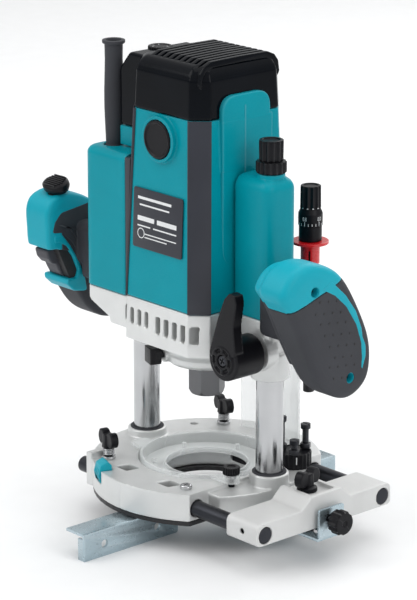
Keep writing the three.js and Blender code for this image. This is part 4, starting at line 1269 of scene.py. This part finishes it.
def inner_panel():
    """The rubber panel on the left handle's inner face, with moulded contour lines."""
    outline = fillet([(-13, 197, 2), (-40, 193.5, 5), (-46, 187, 4), (-48, 179, 2), (-39, 178, 5),
                      (-29, 168, 6), (-19, 150, 5), (-14, 130, 3), (-2, 128, 3), (10, 150, 6),
                      (2, 186, 6)])
    x = -(FACE_IN - 0.3)
    panel = rounded(prism(outline, x - 1.8, x, "x"), 0.5, 3, 40)
    on(panel, "handle_left_panel", "handle_left_grip")
    for index, reach in enumerate((0, 6)):
        line = [(-42 + reach, 184 - reach * 0.4), (-32 + reach, 180 - reach * 0.3),
                (-22 + reach, 166), (-14 + reach, 148)]
        band = line + [(y + 1.1, z + 0.9) for y, z in reversed(line)]
        ridge = rounded(prism(fillet(band, 2, 4), x - 0.2, x + 0.45, "x"), 0.2, 2, 40)
        on(ridge, f"panel_ridge_{index}", "handle_left_grip")


def trigger():
    """The trigger, with finger scallops down its front."""
    x0, x1, *_ = span("trigger")
    outline = [(-48, 164), (-46, 157), (-42, 152.5), (-38.5, 151.5), (-37, 148), (-34.5, 143.5),
               (-31, 140.5), (-25, 139), (-24, 147), (-30, 158), (-38, 164.5)]
    shape = prism(fillet(outline, 2, 5), x0, x1, "x")
    stand_for(soften(rounded(shape, 2.2, 4, 40), 0.45, 4), "trigger")


def lock_off_button():
    """An oval pad with cross ridges, tilted to the block's top, on a round stem."""
    (x, y), low, top = upright("lock_off_button")
    pad = lathe(fillet([(0, -5.5, 0), (7.2, -5.5, 1.5), (8.8, -2, 1.2), (8.8, 1.2, 1.2),
                        (7.4, 2.6, 0.8), (0, 2.9, 0)]))
    for k in range(-3, 4):
        reach = 6.6 - abs(k) * 0.6
        ridge = box(-reach, reach, k * 2.0 - 0.5, k * 2.0 + 0.5, 2.2, 3.5)
        pad = unite(pad, rounded(ridge, 0.25, 2))
    tilt = Matrix.Rotation(0.42, 4, "X") @ Matrix.Diagonal((1.38, 1.0, 1, 1))
    pad.data.transform(Matrix.Translation((x, y + 1.5, top - 5)) @ tilt)
    stem = disc(4, low, top - 6, (x, y), steps=40)
    stand_for(gather(pad, stem), "lock_off_button")


# ---- Motor internals, the CAD nodes' finish and the floor


def internals():
    """Return springs on meshes of their own, the limit rod, the spindle and its collet cone."""
    for side, x in COLUMNS.items():
        node = f"return_spring_{side}"
        low, high = heights(node)
        reach, wire = (5.2, 0.9) if side == "left" else (5.9, 0.8)
        coil = stand_for(helix((x, 0), reach, wire, low, high, 16), node, sharp=180)
        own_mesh(coil)
    low, top = heights("limit_rod")
    stand_for(disc(3.6, low, top, (COLUMN_X, 0), edge=0.4, steps=48), "limit_rod")
    shaft = [(0, 97, 0), (6.4, 97, 0.4), (6.4, 103.6, 0), (8.2, 103.6, 0.4), (8.2, 150, 0),
             (7, 150, 0), (7, 285, 0), (5, 285, 0), (5, 303, 0.5), (0, 303, 0)]
    stand_for(lathe(fillet(shaft)), "spindle_shaft")
    cone = [(6, 77.4), (7.6, 77.4), (9.2, 82), (9.2, 96.6), (6, 96.6)]
    stand_for(lathe(fillet(cone, 0.3)), "collet_cone")


def dress_cad_nodes():
    """Every CAD node takes its slot's finish, whether or not a finer piece stands for it."""
    for node, obj in frame["nodes"].items():
        for entry in obj.material_slots:
            entry.material = LOOKS[SLOT[node]]


def floor():
    bm = bmesh.new()
    bmesh.ops.create_grid(bm, x_segments=8, y_segments=8, size=14)
    ground = as_object(bm)
    ground.name = "floor"
    material = finish("floor", (0.86, 0.865, 0.87), 0.72, grain=(220, 0.02), blotch=0.01)
    ground.data.materials.append(material)


for build in (
    camera, studio, floor, dress_cad_nodes, base_casting, base_screws, sole_and_columns,
    dust_nozzle, nozzle_screw, chip_deflector, template_lock, index_clip, clamp_bolts, turret,
    stop_screws, column_limits, guide_rods, guide_holder, guide_wing_nut, straight_guide,
    fine_adjust_knob, motor_housing, towers, corner_strips, nameplate, brush_caps, top_cap,
    speed_dial, cord_guard, bearing_housing, shaft_lock, lock_lever, spindle_nose, depth_stop,
    right_handle, left_handle, trigger, lock_off_button, internals,
):
    build()
